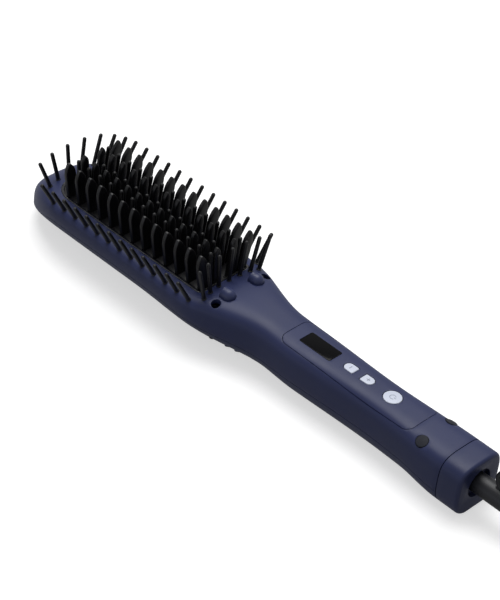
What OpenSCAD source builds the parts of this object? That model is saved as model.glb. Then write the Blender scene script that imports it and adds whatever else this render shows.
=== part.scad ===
// Steam hair straightening brush with a heated comb and a swivel cord, lying on its back, teeth up.
// Millimetres. X runs from the rounded tip to the cord end, Y across, Z up from the surface it lies on.
// The origin is under the middle of the brush, halfway between the tip and the end of the strain relief.
// Names ending in _d are distances along X from the rounded tip.

/* [Casing] */
// Length of the casing, tip to end cap
body_len = 290; // [286:1:296]
// Height of the casing on the handle
body_h = 28.3; // [27.8:0.1:28.8]
// Width of the head
head_w = 50.6; // [50.2:0.2:51.6]
// Height of the head at its middle
head_h = 28.1; // [27.8:0.1:28.5]
// Width of the handle behind the neck
neck_w = 28.2; // [27.8:0.2:28.8]
// Width of the handle at its waist
waist_w = 24.6; // [24.4:0.2:25.6]
// Width of the handle at the cord end
end_w = 28.4; // [28:0.2:29]
// Wall thickness of the casing
wall = 2.2; // [2:0.1:2.3]
// Length of the rounded nose of the head
nose_len = 36; // [35:0.5:37]
// Roundness of the nose from above, 2 is an ellipse and more is squarer
nose_power = 1.8; // [1.8:0.1:2]

/* [Heated comb] */
// Half the width of the heated plate
plate_hw = 15.4; // [15.2:0.1:15.5]
// Number of rows of teeth
tooth_rows = 13; // [11:1:13]
// Distance between two rows of teeth
row_pitch = 7.7; // [7.6:0.05:7.7]
// Height of the tips of the teeth above the surface the brush lies on
tooth_top = 48.6; // [46.6:0.2:49.6]
// Width of an outer blade
blade_w = 5.4; // [5:0.1:5.5]
// Thickness of a blade
blade_t = 2; // [1.6:0.1:2.2]
// Diameter of a round tooth
tooth_d = 2; // [1.8:0.1:2.2]

/* [Guard pins] */
// Diameter of a guard pin
pin_d = 1.8; // [1.6:0.1:2]
// Length of a guard pin above the casing
pin_len = 17; // [16:0.2:18]
// Number of guard pins along each side
side_pins = 13; // [11:1:13]
// Distance between two guard pins along a side
pin_pitch = 7.96; // [7.8:0.02:8]
// Number of guard pins round the tip, and of those across the handle end
end_pins = 7; // [5:1:7]
// Outward lean of the side pins, in degrees
pin_lean = 31.6; // [30:0.2:32]

/* [Controls] */
// Length of the control panel
panel_len = 81; // [80.5:0.1:81.5]
// Half the width of the control panel
panel_hw = 10.3; // [10.1:0.1:10.5]
// Travel of the buttons
button_travel = 0.6; // [0.3:0.1:0.7]
// Diameter of the power button
power_d = 9; // [8.6:0.1:9.2]
// Travel of the steam trigger
trigger_travel = 2; // [1:0.5:2.5]

/* [Cord] */
// Diameter of the cord
cord_d = 6.6; // [6.4:0.1:6.8]
// Length of the strain relief and its collar outside the casing
relief_len = 42; // [40:1:44]
// Turns in each of the coil's three layers
coil_turns = 2; // [1:1:3]

/* [Hidden] */
$fn = 48;

// Clearances
fit_gap = 0.1;
run_gap = 0.05;
move_gap = 0.3;
tiny = 0.01;

// The whole brush is centred on the origin along X.
total_len = body_len + relief_len;
tip_x = -total_len / 2;
cap_len = 12.4;
cap_x = tip_x + body_len - cap_len;
end_x = tip_x + body_len;

// Casing: where each change of section starts and stops, measured from the tip
side_from_d = 102;
neck_from_d = 122;
neck_to_d = 169;
waist_d = 231;
end_d = 277;
crown_h = head_h + 2;
nose_z = 8;
head_side_z = head_h - 6.7;
handle_side_z = 15.3;
head_under_power = 1.64;
handle_under_power = 1.96;
end_under_power = 2.8;
top_power = 3.6;
rise_power = 2.9;
rise_root = 1.5;
grip_lift = 1.5;
sink = 0.6;
end_drop = 0.4;
// The split line runs this many degrees round the section below the widest line
split_a = 15;

function at(d) = tip_x + d;
function ease(t) = let (c = max(0, min(1, t))) c * c * (3 - 2 * c);
function blend(a, b, d0, d1, d) = a + (b - a) * ease((d - d0) / (d1 - d0));
function half_w(d) = blend(head_w, neck_w, neck_from_d, neck_to_d, d) / 2
    + blend(0, waist_w - neck_w, neck_to_d + 8, waist_d, d) / 2
    + blend(0, end_w - waist_w, waist_d, end_d, d) / 2;
function side_z(d) = blend(nose_z, head_side_z, 0, nose_len, d)
    + blend(0, handle_side_z - head_side_z, side_from_d, neck_to_d, d);
function top_z(d) = blend(head_h, crown_h, neck_from_d, neck_from_d + 18, d)
    + blend(0, body_h - crown_h, neck_from_d + 21, neck_to_d + 14, d)
    - blend(0, end_drop, end_d - 40, end_d, d);
function low_z(d) = blend(-sink, grip_lift, side_from_d + 6, side_from_d + 30, d)
    - blend(0, grip_lift + sink, neck_to_d - 6, neck_to_d + 17, d);
function low_power(d) = blend(head_under_power, handle_under_power, 87, 147, d)
    + blend(0, end_under_power - handle_under_power, end_d - 24, end_d, d);
// How far the nose has closed in plan and in height, for a skin set in by off
function nose_u(d, off) = max(0, (nose_len - d) / (nose_len - off));
function nose_plan(d, off) = pow(max(0.002, 1 - pow(nose_u(d, off), nose_power)), 1 / nose_power);
function nose_high(d, off) = pow(max(0.002, 1 - pow(nose_u(d, off), rise_power)), 1 / rise_root);
function flat(z, off) = max(z, off);
// A point of the skin, at angle t round the section, set in by off
function skin_y(d, t, off) = let (p = sin(t) >= 0 ? top_power : low_power(d))
    (half_w(d) - off) * nose_plan(d, off) * sign(cos(t)) * pow(abs(cos(t)), 2 / p);
function skin_z(d, t, off) = let (s = side_z(d), h = nose_high(d, off))
    sin(t) >= 0
    ? s + (top_z(d) - off - s) * h * pow(sin(t), 2 / top_power)
    : flat(s - (s - low_z(d) - off) * h * pow(-sin(t), 2 / low_power(d)), max(0, off));
function skin(d, t, off) = [at(d), skin_y(d, t, off), skin_z(d, t, off)];
// Height of the casing's top over a point
function deck_z(d, y) = side_z(d) + (top_z(d) - side_z(d)) * nose_high(d, 0)
    * pow(max(0, 1 - pow(min(1, abs(y) / half_w(d) / nose_plan(d, 0)), top_power)), 1 / top_power);

nose_steps = 9;
function nose_stops(off) = [for (i = [0 : nose_steps]) off + (nose_len - off) * (1 - cos(i * 90 / nose_steps))];
function run_stops(d0, d1, step) = let (n = ceil((d1 - d0) / step)) [for (i = [1 : n]) d0 + (d1 - d0) * i / n];

// A closed solid through rings of equally many points
module loft(rings) {
    n = len(rings);
    m = len(rings[0]);
    sides = [for (i = [0 : n - 2], j = [0 : m - 1]) let (k = (j + 1) % m)
        each [[i * m + k, i * m + j, (i + 1) * m + j], [(i + 1) * m + k, i * m + k, (i + 1) * m + j]]];
    ends = [[for (j = [0 : m - 1]) j], [for (j = [m - 1 : -1 : 0]) (n - 1) * m + j]];
    polyhedron([for (r = rings, p = r) p], concat(sides, ends), convexity = 10);
}

function ring(d, t0, t1, steps, off) = [for (i = [0 : steps]) skin(d, t0 + (t1 - t0) * i / steps, off)];
function full_ring(d, steps, off) = [for (i = [0 : steps - 1]) skin(d, 360 * (i + 0.5) / steps, off)];

// A bent strip of casing between two depths, from one distance to another
module skin_strip(d0, d1, t0, t1, off_out, off_in, steps, stops) {
    loft([for (i = [0 : stops]) let (d = d0 + (d1 - d0) * i / stops)
        concat(ring(d, t0, t1, steps, off_out), ring(d, t1, t0, steps, off_in))]);
}

long_stops = concat(nose_stops(0), run_stops(nose_len, 100, 17), run_stops(100, 190, 6),
    run_stops(190, body_len - cap_len, 14));

// The skin's solid above the split line, and below it
module casing_top() {
    loft([for (d = long_stops) ring(d, -split_a, 180 + split_a, 20, 0)]);
}

module casing_back() {
    loft([for (d = long_stops) ring(d, 180 + split_a, 360 - split_a, 16, 0)]);
}

module casing_whole() {
    loft([for (d = long_stops) full_ring(d, 28, 0)]);
}

module casing_inside() {
    stops = concat(nose_stops(wall), run_stops(nose_len, 100, 17), run_stops(100, 190, 6),
        run_stops(190, body_len, 14));
    loft([for (d = stops) full_ring(d, 28, wall)]);
}

// A tube or rod along X, Y or Z
module rod_x(x0, x1, y, z, r) {
    translate([x0, y, z]) rotate([0, 90, 0]) cylinder(h = x1 - x0, r = r);
}

module rod_y(y0, y1, x, z, r) {
    translate([x, y0, z]) rotate([-90, 0, 0]) cylinder(h = y1 - y0, r = r);
}

module rod_z(z0, z1, x, y, r) {
    translate([x, y, z0]) cylinder(h = z1 - z0, r = r);
}

module box(x0, x1, hw, z0, z1) {
    translate([x0, -hw, z0]) cube([x1 - x0, 2 * hw, z1 - z0]);
}

// A rounded rectangle about the X axis, with its own corner radius at each end
module slab_outline(x0, x1, hw, r0, r1) {
    translate([x0 + r0, -hw]) square([x1 - x0 - r0 - r1, 2 * hw]);
    translate([x0, r0 - hw]) square([r0 + tiny, 2 * (hw - r0)]);
    translate([x1 - r1 - tiny, r1 - hw]) square([r1 + tiny, 2 * (hw - r1)]);
    for (s = [-1, 1]) {
        translate([x0 + r0, s * (hw - r0)]) circle(r0);
        translate([x1 - r1, s * (hw - r1)]) circle(r1);
    }
}

module slab(x0, x1, hw, r0, r1, z0, z1) {
    translate([0, 0, z0]) linear_extrude(z1 - z0) slab_outline(x0, x1, hw, r0, r1);
}

// Heated plate and the rim round it
plate_from_d = 24;
first_row_d = plate_from_d + 9.6;
plate_to_d = first_row_d + (tooth_rows - 1) * row_pitch + 1.6;
plate_nose_r = 11;
plate_tail_r = 1.5;
plate_top = head_h - 0.4;
plate_z = plate_top - 2.3;
rim_w = 1.5;
rim_top = plate_top + 0.3;
tray_z = plate_z - 14;

module plate_slab(grow, z0, z1) {
    slab(at(plate_from_d - grow), at(plate_to_d + grow), plate_hw + grow, plate_nose_r + grow,
        plate_tail_r + grow, z0, z1);
}

// Teeth: [how far out at the root, lean, width of the blade or 0 for a round tooth, how much shorter]
tooth_plan = [
    [plate_hw - blade_w / 2 - 0.5, 11.3, blade_w, 0],
    [7.8, 6, 0, 1.2],
    [4.6, 3, blade_w * 0.74, 0]
];
centre_short = 3.4;
tooth_root = plate_top - 1.2;

// A flat blade with a pointed-arch outline, standing on z = 0
module blade(w, h) {
    arch_r = w * 1.7;
    arch_h = sqrt(arch_r * arch_r - (arch_r - w / 2) * (arch_r - w / 2));
    rotate([90, 0, 90]) translate([0, 0, -blade_t / 2]) linear_extrude(blade_t) union() {
        translate([-w / 2, 0]) square([w, h - arch_h + tiny]);
        translate([0, h - arch_h]) intersection() {
            translate([w / 2 - arch_r, 0]) circle(arch_r);
            translate([arch_r - w / 2, 0]) circle(arch_r);
            translate([-w / 2, 0]) square([w, arch_h - 0.25]);
        }
    }
}

module round_tooth(h) {
    cylinder(h = h - tooth_d / 2, d = tooth_d);
    translate([0, 0, h - tooth_d / 2]) sphere(d = tooth_d);
}

module tooth(side, plan) {
    h = (tooth_top - plan[3] - tooth_root) / cos(plan[1]);
    translate([0, side * plan[0], tooth_root]) rotate([-side * plan[1], 0, 0]) {
        if (plan[2] > 0) blade(plan[2], h);
        else round_tooth(h);
    }
}

module comb_plate() {
    color([0.03, 0.03, 0.035]) {
        plate_slab(0, plate_z, plate_top);
        for (i = [0 : tooth_rows - 1]) translate([at(first_row_d + i * row_pitch), 0, 0]) {
            for (side = [-1, 1], plan = tooth_plan) tooth(side, plan);
            if (i > 0 && i < tooth_rows - 1) translate([0, 0, tooth_root])
                round_tooth(tooth_top - centre_short - tooth_root);
        }
    }
}

module plate_rim() {
    color([0.05, 0.05, 0.06]) difference() {
        plate_slab(rim_w, plate_z, rim_top);
        plate_slab(fit_gap, plate_z - 1, rim_top + 1);
    }
}

// Guard pins: [distance from the tip, sideways place, lean outward, lean to the tip, length] of each
side_y = 22.5;
first_pin_d = 31.3;
arc_depth = 13;
arc_from = 12;
arc_step = 20.2;
tip_lean = 7;
end_row_d = first_pin_d + (side_pins - 1) * pin_pitch + 3.8;
end_row_y = 18.2;
end_lean = 16;
end_bow = 2;
end_longer = 2.5;
pins = concat(
    [for (s = [-1, 1], i = [0 : side_pins - 1]) [first_pin_d + i * pin_pitch, s * side_y, s * pin_lean, 0, pin_len]],
    [for (i = [0 : end_pins - 1]) let (t = arc_from + i * arc_step)
        [first_pin_d - arc_depth * pow(sin(t), 0.6), side_y * cos(t), pin_lean * cos(t), tip_lean, pin_len]],
    [for (i = [0 : end_pins - 1]) let (u = sin(54 * (2 * i / (end_pins - 1) - 1)) / sin(54))
        [end_row_d + end_bow * u * u, end_row_y * u, end_lean * u, 0, pin_len + end_longer]]
);
ring_z = head_h - 7.2;
ring_t = 1.5;
ring_in = side_y - 4.1;
ring_out = side_y - 1.2;
ring_from_d = first_pin_d - arc_depth - 0.9;
ring_to_d = end_row_d + end_bow + 1.2;
ring_r = 12;
pin_r = pin_d / 2;
pin_deep = 11;

// Runs its children along one pin's own axis, with z = 0 where the pin leaves the casing
module along_pin(pin) {
    translate([at(pin[0]), pin[1], deck_z(pin[0], pin[1])]) rotate([-pin[2], -pin[3], 0]) children();
}

module guard_pins() {
    band = ring_out - ring_in;
    color([0.02, 0.02, 0.025]) {
        for (pin = pins) intersection() {
            along_pin(pin) union() {
                translate([0, 0, -pin_deep]) cylinder(h = pin_deep + pin[4] - pin_r, r = pin_r, $fn = 24);
                translate([0, 0, pin[4] - pin_r]) sphere(r = pin_r, $fn = 24);
            }
            box(at(0), at(160), 40, ring_z + 0.4, 60);
        }
        difference() {
            slab(at(ring_from_d), at(ring_to_d), ring_out, ring_r, 3, ring_z, ring_z + ring_t);
            slab(at(ring_from_d + band), at(ring_to_d - band - 1.8), ring_in, ring_r - band, 2, ring_z - 1,
                ring_z + ring_t + 1);
        }
    }
}

module pin_holes() {
    for (pin = pins) along_pin(pin)
        translate([0, 0, -6]) cylinder(h = 9, r = pin_r + fit_gap, $fn = 24);
}

// Heater stack under the plate
stack_from = at(plate_from_d + 12);
stack_to = at(plate_to_d - 8);

module heater_tray() {
    color([0.75, 0.72, 0.66]) difference() {
        plate_slab(1.2, tray_z, plate_z - tiny);
        plate_slab(-0.6, tray_z + 1.4, plate_z + 1);
        box(at(plate_to_d) - 4, at(plate_to_d) + 4, heater_lead_y + lead_r + 0.3, lead_z - lead_r - 0.3, plate_z + 1);
    }
}

module heater_strips() {
    color([0.8, 0.78, 0.72]) for (s = [-1, 1])
        translate([stack_from + 2, s * 6.4 - 5, plate_z - 2.6]) cube([stack_to - stack_from - 4, 10, 2.5]);
}

module insulation_sheet() {
    color([0.62, 0.55, 0.4]) box(stack_from, stack_to, 12.4, plate_z - 3.3, plate_z - 2.7);
}

module heater_clamp() {
    color([0.7, 0.7, 0.7]) difference() {
        union() {
            box(stack_from - 3, stack_to + 3, 12.8, plate_z - 4.9, plate_z - 3.4);
            for (x = [stack_from - 3, stack_to + 1.6]) box(x, x + 1.4, 8, tray_z + 1.5, plate_z - 4);
        }
        for (i = [0 : 4]) rod_z(plate_z - 6, plate_z - 2, stack_from + 4 + i * 18, 0, 2);
    }
}

module thermal_fuse() {
    x = stack_to - 16;
    z = plate_z - 7;
    color([0.85, 0.85, 0.82]) {
        rod_x(x, x + 11, 6, z, 2);
        rod_x(x - 5, x + 16, 6, z, 0.5);
    }
}

trigger_lip_z = grip_lift + wall + 3 * move_gap;
trigger_lip_t = 1.3;

// Steam path in the neck
nozzle_d = 139.8;
nozzle_y = 9.4;
hood_r = 3.5;
stem_r = 2;
stem_bore = 1.1;
chamber_from = at(nozzle_d - 9.8);
chamber_to = at(nozzle_d + 3.6);
chamber_wall = 1.4;
chamber_hw = nozzle_y + stem_r + 1.2;
chamber_top = ring_z - 0.3;
chamber_low = trigger_lip_z + trigger_lip_t + trigger_travel + 1.1;

module nozzle_at(s) {
    translate([at(nozzle_d), s * nozzle_y, deck_z(nozzle_d, nozzle_y)]) children();
}

// A hood that opens towards the teeth, on a pipe that goes down into the steam chamber
module steam_nozzles() {
    stem = deck_z(nozzle_d, nozzle_y) - chamber_top + 1;
    color([0.16, 0.18, 0.3]) for (s = [-1, 1]) nozzle_at(s) {
        difference() {
            union() {
                intersection() {
                    sphere(r = hood_r);
                    translate([-hood_r + 1, -hood_r, -0.9]) cube(2 * hood_r);
                }
                translate([0, 0, -stem]) cylinder(h = stem, r = stem_r);
            }
            translate([0, 0, -stem - 1]) cylinder(h = stem + 2.4, r = stem_bore);
            translate([-hood_r - 1, 0, 1.1]) rotate([0, 90, 0]) cylinder(h = hood_r + 1, r = 1.5);
        }
    }
}

module steam_chamber() {
    color([0.72, 0.72, 0.7]) difference() {
        box(chamber_from, chamber_to, chamber_hw, chamber_low, chamber_top);
        box(chamber_from + chamber_wall, chamber_to - chamber_wall, chamber_hw - chamber_wall,
            chamber_low + chamber_wall, chamber_top - chamber_wall);
        for (s = [-1, 1]) rod_z(chamber_top - 2, chamber_top + 1, at(nozzle_d), s * nozzle_y, stem_r + fit_gap);
        rod_x(chamber_to - 2, chamber_to + 1, 0, hose_z, hose_r + fit_gap);
    }
}

// Pump above the trigger, which rises when it is pressed
pump_d = 151;
pump_x = at(pump_d);
pump_r = 5;
piston_r = 1.8;
spring_room = 3.1;
pump_low = trigger_lip_z + trigger_lip_t + spring_room + trigger_travel;
pump_top = crown_h - 7.6;
wing_hw = half_w(pump_d) - wall - 2;
wing_t = 2.4;
wing_peg_y = 9;
wing_peg_r = 1;
hose_r = 1.5;
hose_z = chamber_top - 3;
port_r = 0.8;

module hose(x0, x1, z, r) {
    difference() {
        rod_x(x0, x1, 0, z, r);
        rod_x(x0 - 1, x1 + 1, 0, z, r - 0.7);
    }
}

module steam_hose() {
    color([0.85, 0.85, 0.83]) hose(chamber_to - 1.2, pump_x - pump_r + 0.8, hose_z, hose_r);
}

module pump_body() {
    color([0.8, 0.8, 0.8]) difference() {
        union() {
            rod_z(pump_low, pump_top, pump_x, 0, pump_r);
            box(pump_x - 3, pump_x + 3, wing_hw, pump_top - wing_t, pump_top);
        }
        rod_z(pump_low - 1, pump_top - 1.2, pump_x, 0, piston_r + run_gap);
        rod_x(pump_x - pump_r - 1, pump_x + pump_r + 1, 0, hose_z, port_r);
        rod_x(pump_x - pump_r - 1, pump_x - pump_r + 1, 0, hose_z, hose_r + fit_gap);
        rod_x(pump_x + pump_r - 1, pump_x + pump_r + 1, 0, hose_z, hose_r + fit_gap);
        for (s = [-1, 1]) rod_z(pump_top - wing_t - 1, pump_top + 1, pump_x, s * wing_peg_y, wing_peg_r + fit_gap);
    }
}

// Posts under the top of the casing that press the pump down, with pegs through its wings
module pump_posts() {
    for (s = [-1, 1]) {
        rod_z(pump_top + tiny, 40, pump_x, s * wing_peg_y, 2.2);
        rod_z(pump_top - wing_t - 0.4, 40, pump_x, s * wing_peg_y, wing_peg_r);
    }
}

// Trigger on the back of the neck: a pad that follows the casing, with two ridges
trigger_from_d = 139;
trigger_to_d = 160;
trigger_hw = 11.6;
ridge_d = [145.7, 151];

module trigger_window(grow) {
    box(at(trigger_from_d) - grow, at(trigger_to_d) + grow, trigger_hw + grow, -5, 12);
}

module steam_trigger() {
    color([0.12, 0.13, 0.22]) {
        intersection() {
            union() {
                skin_strip(trigger_from_d - 2, trigger_to_d + 2, 200, 340, 0.15, 2.1, 20, 6);
                for (d = ridge_d) skin_strip(d - 1, d + 1, 204, 336, -0.8, 1.2, 17, 2);
            }
            trigger_window(0);
        }
        box(at(trigger_from_d) - 2.2, at(trigger_to_d) + 2.2, 4, trigger_lip_z,
            trigger_lip_z + trigger_lip_t);
        box(at(trigger_from_d) + 2, at(trigger_to_d) - 2, 3.5, grip_lift + 1, trigger_lip_z + tiny);
    }
}

module pump_piston() {
    color([0.3, 0.3, 0.32]) rod_z(trigger_lip_z + trigger_lip_t, pump_low + 2, pump_x,
        0, piston_r);
}

// Return spring round the piston
spring_r = 3.1;
spring_wire = 0.6;
spring_turns = 4;
spring_z = [trigger_lip_z + trigger_lip_t + spring_wire / 2 + run_gap, pump_low - spring_wire / 2 - run_gap];

function tube_ring(p, f, r, sides) = let (g = f / norm(f), u0 = abs(g[2]) > 0.9 ? [1, 0, 0] : [0, 0, 1],
    a = cross(g, u0) / norm(cross(g, u0)), b = cross(a, g))
    [for (k = [0 : sides - 1]) p + r * (cos(360 * k / sides) * a - sin(360 * k / sides) * b)];
function path_rings(path, r, sides) = [for (i = [0 : len(path) - 1])
    tube_ring(path[i], path[min(i + 1, len(path) - 1)] - path[max(i - 1, 0)], r, sides)];

module tube(path, r, sides) {
    loft(path_rings(path, r, sides));
}

module pump_spring() {
    steps = 16 * spring_turns;
    color([0.7, 0.7, 0.72]) tube([for (i = [0 : steps]) [
        pump_x + spring_r * cos(360 * i / 16),
        spring_r * sin(360 * i / 16),
        spring_z[0] + (spring_z[1] - spring_z[0]) * i / steps
    ]], spring_wire / 2, 6);
}

// Water tank in the handle, with a filler mouth on the far side
tank_from = at(182);
tank_to = at(246);
tank_z = 9.5;
tank_r = 4.5;
tank_side = 2.9;
mouth_x = at(238);
mouth_r = 3.2;
mouth_y = half_w(238) - wall - 1;
filler_r = 3.5;

module feed_hose() {
    color([0.85, 0.85, 0.83]) tube(feed_path, hose_r, 10);
}

feed_path = [[pump_x + pump_r - 0.8, 0, hose_z], [pump_x + pump_r + 3, 0, hose_z],
    [pump_x + pump_r + 8, 0, hose_z - 2], [tank_from - 12, 0, tank_z + 1], [tank_from - 8, 0, tank_z],
    [tank_from, 0, tank_z]];

module tank_form(inset) {
    for (s = [-1, 1]) rod_x(tank_from + inset, tank_to - inset, s * tank_side, tank_z, tank_r - inset);
    box(tank_from + inset, tank_to - inset, tank_side, tank_z - tank_r + inset, tank_z + tank_r - inset);
}

module water_tank() {
    color([0.75, 0.82, 0.88]) difference() {
        union() {
            tank_form(0);
            rod_y(2, mouth_y, mouth_x, tank_z, mouth_r);
        }
        tank_form(1);
        rod_y(4, mouth_y + 1, mouth_x, tank_z, mouth_r - 1 + tiny);
    }
}

module filler_plug() {
    color([0.12, 0.13, 0.2]) {
        rod_y(mouth_y + 0.1, mouth_y + 3, mouth_x, tank_z, filler_r);
        rod_y(mouth_y - 3, mouth_y + 0.2, mouth_x, tank_z, mouth_r - 1 - run_gap);
    }
}

module filler_hole() {
    rod_y(mouth_y - 5, mouth_y + 9, mouth_x, tank_z, filler_r + move_gap);
}

// Controls on the handle
panel_from_d = 174.3;
panel_from = at(panel_from_d);
panel_to = panel_from + panel_len;
panel_r = 4;
panel_in = 2;
window_len = 19.3;
window_hw = 4.6;
window_x = at(181.4);
minus_x = at(209.9);
plus_x = at(220.9);
power_x = at(235.9);
key_len = 6.5;
key_w = 5.4;
board_z = body_h - 8.8;
board_t = 1.6;
board_top = board_z + board_t;
switch_h = 1.5;
key_low = board_top + switch_h + 0.4 + button_travel + 0.15;
key_flange_z = body_h - 3.8;
key_flange_t = 0.9;
key_top = body_h + 0.7;

module key_outline(grow) {
    r = key_w / 2 + grow;
    translate([key_w / 2 - key_len / 2, 0]) circle(r);
    translate([key_w / 2 - key_len / 2, -r]) square([key_len - key_w / 2 + grow, 2 * r]);
}

module key_hole(x, flip) {
    translate([x, 0, body_h - 6]) mirror([flip, 0, 0]) linear_extrude(12) key_outline(0.2);
}

module control_panel() {
    stops = 12;
    color([0.14, 0.16, 0.28]) {
        difference() {
            intersection() {
                skin_strip(panel_from_d - 1, panel_from_d + panel_len + 1, 15, 165, 0.02, panel_in, 22, stops);
                slab(panel_from, panel_to, panel_hw, panel_r, panel_r, board_z, body_h + 4);
            }
            box(window_x - fit_gap, window_x + window_len + fit_gap, window_hw + fit_gap, board_z, body_h + 4);
            key_hole(minus_x, 0);
            key_hole(plus_x, 1);
            rod_z(board_z, body_h + 4, power_x, 0, power_d / 2 + 0.2);
        }
        for (x = board_screw_x) rod_z(board_top, body_h - 1, x, 0, board_post_r);
        box(panel_from - 2.4, panel_from + 2, 5, body_h - 3.7, body_h - 2.8);
        box(panel_from + 0.3, panel_from + 2, 5, body_h - 3.7, body_h - 1);
    }
}

module display_window() {
    color([0.01, 0.01, 0.012]) box(window_x, window_x + window_len, window_hw, body_h - 1.8,
        body_h - 0.25);
}

module display_module() {
    color([0.2, 0.22, 0.2]) box(window_x - 0.4, window_x + window_len + 2, 5.6, board_top,
        body_h - 3.6);
}

module key(x, flip) {
    translate([x, 0, 0]) mirror([flip, 0, 0]) {
        translate([0, 0, key_low]) linear_extrude(key_top - key_low) key_outline(0);
        translate([0, 0, key_flange_z]) linear_extrude(key_flange_t) key_outline(0.8);
    }
}

module minus_button() {
    color([0.84, 0.86, 0.92]) key(minus_x, 0);
}

module plus_button() {
    color([0.84, 0.86, 0.92]) key(plus_x, 1);
}

module power_button() {
    color([0.84, 0.86, 0.92]) {
        rod_z(key_low, key_top, power_x, 0, power_d / 2);
        rod_z(key_flange_z, key_flange_z + key_flange_t, power_x, 0, power_d / 2 + 0.8);
    }
}

module tact_switches() {
    color([0.25, 0.25, 0.27]) for (x = [minus_x, plus_x, power_x]) {
        box(x - 3, x + 3, 3, board_top, board_top + switch_h);
        rod_z(board_top + switch_h - tiny, board_top + switch_h + 0.4, x, 0, 1.5);
    }
}

// Circuit board hung from the panel by two screws
board_from = window_x - 4.7;
board_to = power_x + 14.1;
board_screw_x = [window_x + window_len + 3.6, power_x + 10.4];
board_post_r = 1.2;

module control_board() {
    color([0.1, 0.4, 0.2]) {
        difference() {
            box(board_from, board_to, 8.2, board_z, board_top);
            for (x = board_screw_x) rod_z(board_z - 1, board_top + 1, x, 0, 0.9);
        }
        box(power_x + 12.4, board_to - 0.4, 6, board_top - tiny, board_top + 2.4);
    }
}

module board_screws() {
    color([0.7, 0.7, 0.72]) for (x = board_screw_x) {
        rod_z(board_z - 1.2, board_z - tiny, x, 0, 1.9);
        rod_z(board_z - 0.5, board_top - tiny, x, 0, 0.8);
    }
}

// Screws that join the two halves, in the neck and near the cord end
neck_screw = [138.9, 16.6];
neck_well_r = 2.4;
neck_floor = crown_h - 10.6;
handle_screw = [262.8, 8.8];
handle_well_r = 2.2;
handle_floor = body_h - 10.5;
plug_r = 3;
plug_lean = 29;
plug_y = 10.1;
plug_t = 1.8;
screw_r = 1.4;

module well(place, floor_z, r, open_z) {
    for (s = [-1, 1]) {
        rod_z(floor_z, open_z, at(place[0]), s * place[1], r);
        rod_z(floor_z - 4, floor_z + 1, at(place[0]), s * place[1], screw_r + fit_gap);
    }
}

module well_bosses(place, floor_z, r) {
    for (s = [-1, 1]) rod_z(floor_z - 1.4, 40, at(place[0]), s * place[1], r);
}

module screws(place, floor_z, head_r, tip_z) {
    for (s = [-1, 1]) {
        rod_z(floor_z + tiny, floor_z + 1.5, at(place[0]), s * place[1], head_r);
        rod_z(tip_z, floor_z + 1, at(place[0]), s * place[1], screw_r);
    }
}

module neck_screws() {
    color([0.1, 0.1, 0.12]) difference() {
        screws(neck_screw, neck_floor, neck_well_r - 0.2, 8);
        for (s = [-1, 1], a = [0, 90]) translate([at(neck_screw[0]), s * neck_screw[1], neck_floor + 1.2])
            rotate([0, 0, a]) translate([-1.4, -0.3, 0]) cube([2.8, 0.6, 1]);
    }
}

module handle_screws() {
    color([0.1, 0.1, 0.12]) screws(handle_screw, handle_floor, handle_well_r - 0.2, 6);
}

module along_plug(s) {
    translate([at(handle_screw[0]), s * plug_y, deck_z(handle_screw[0], plug_y)])
        rotate([-s * plug_lean, 0, 0]) children();
}

module screw_plugs() {
    color([0.1, 0.11, 0.14]) for (s = [-1, 1]) along_plug(s)
        translate([0, 0, -plug_t]) cylinder(h = plug_t + 0.1, r = plug_r);
}

// Casing halves. The split runs along the widest line.
module upper_shell() {
    color([0.15, 0.17, 0.29]) difference() {
        union() {
            difference() {
                casing_top();
                casing_inside();
            }
            intersection() {
                casing_top();
                union() {
                    well_bosses(neck_screw, neck_floor, 3.6);
                    well_bosses(handle_screw, handle_floor, 3.7);
                    pump_posts();
                    box(cap_x - saddle_x, cap_x - saddle_x + 2, 5, swivel_z + cavity_r + 1.4, 40);
                }
            }
        }
        plate_slab(rim_w + fit_gap, 10, 40);
        pin_holes();
        well(neck_screw, neck_floor, neck_well_r, 40);
        well(handle_screw, handle_floor, handle_well_r, deck_z(handle_screw[0], plug_y) - 0.6);
        filler_hole();
        for (s = [-1, 1]) along_plug(s) translate([0, 0, -plug_t - tiny]) cylinder(h = 9, r = plug_r + fit_gap);
        for (s = [-1, 1]) nozzle_at(s) translate([0, 0, -0.95]) cylinder(h = 9, r = hood_r + fit_gap);
        for (s = [-1, 1]) nozzle_at(s) translate([0, 0, -8]) cylinder(h = 9, r = stem_r + fit_gap);
        slab(panel_from - fit_gap, panel_to + fit_gap, panel_hw + fit_gap, panel_r, panel_r, 16, 40);
    }
}

module lower_shell() {
    tip_post_d = 12;
    color([0.13, 0.15, 0.26]) difference() {
        union() {
            difference() {
                casing_back();
                casing_inside();
            }
            intersection() {
                casing_whole();
                for (s = [-1, 1]) {
                    rod_z(1, neck_floor - 1.5, at(neck_screw[0]), s * neck_screw[1], 2.3);
                    rod_z(1, handle_floor - 1.5, at(handle_screw[0]), s * handle_screw[1], 2.4);
                }
            }
            intersection() {
                casing_back();
                union() {
                    rod_z(1, 40, at(tip_post_d), 0, 2.6);
                    for (d = [40, 104]) box(at(d), at(d) + 1.6, 12, 1, tray_z - 0.1);
                    box(tank_from + 6, tank_from + 7.6, 5, 1, tank_z - tank_r - 0.1);
                    box(tank_to - 8, tank_to - 6.4, 5, 1, tank_z - tank_r - 0.1);
                    box(cap_x - saddle_x, cap_x - saddle_x + 2, 5, 1, swivel_z - cavity_r - 1.4);
                }
            }
        }
        for (s = [-1, 1]) rod_z(6, 40, at(neck_screw[0]), s * neck_screw[1], screw_r + run_gap);
        for (s = [-1, 1]) rod_z(4, 40, at(handle_screw[0]), s * handle_screw[1], screw_r + run_gap);
        trigger_window(move_gap);
        filler_hole();
    }
}

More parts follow.
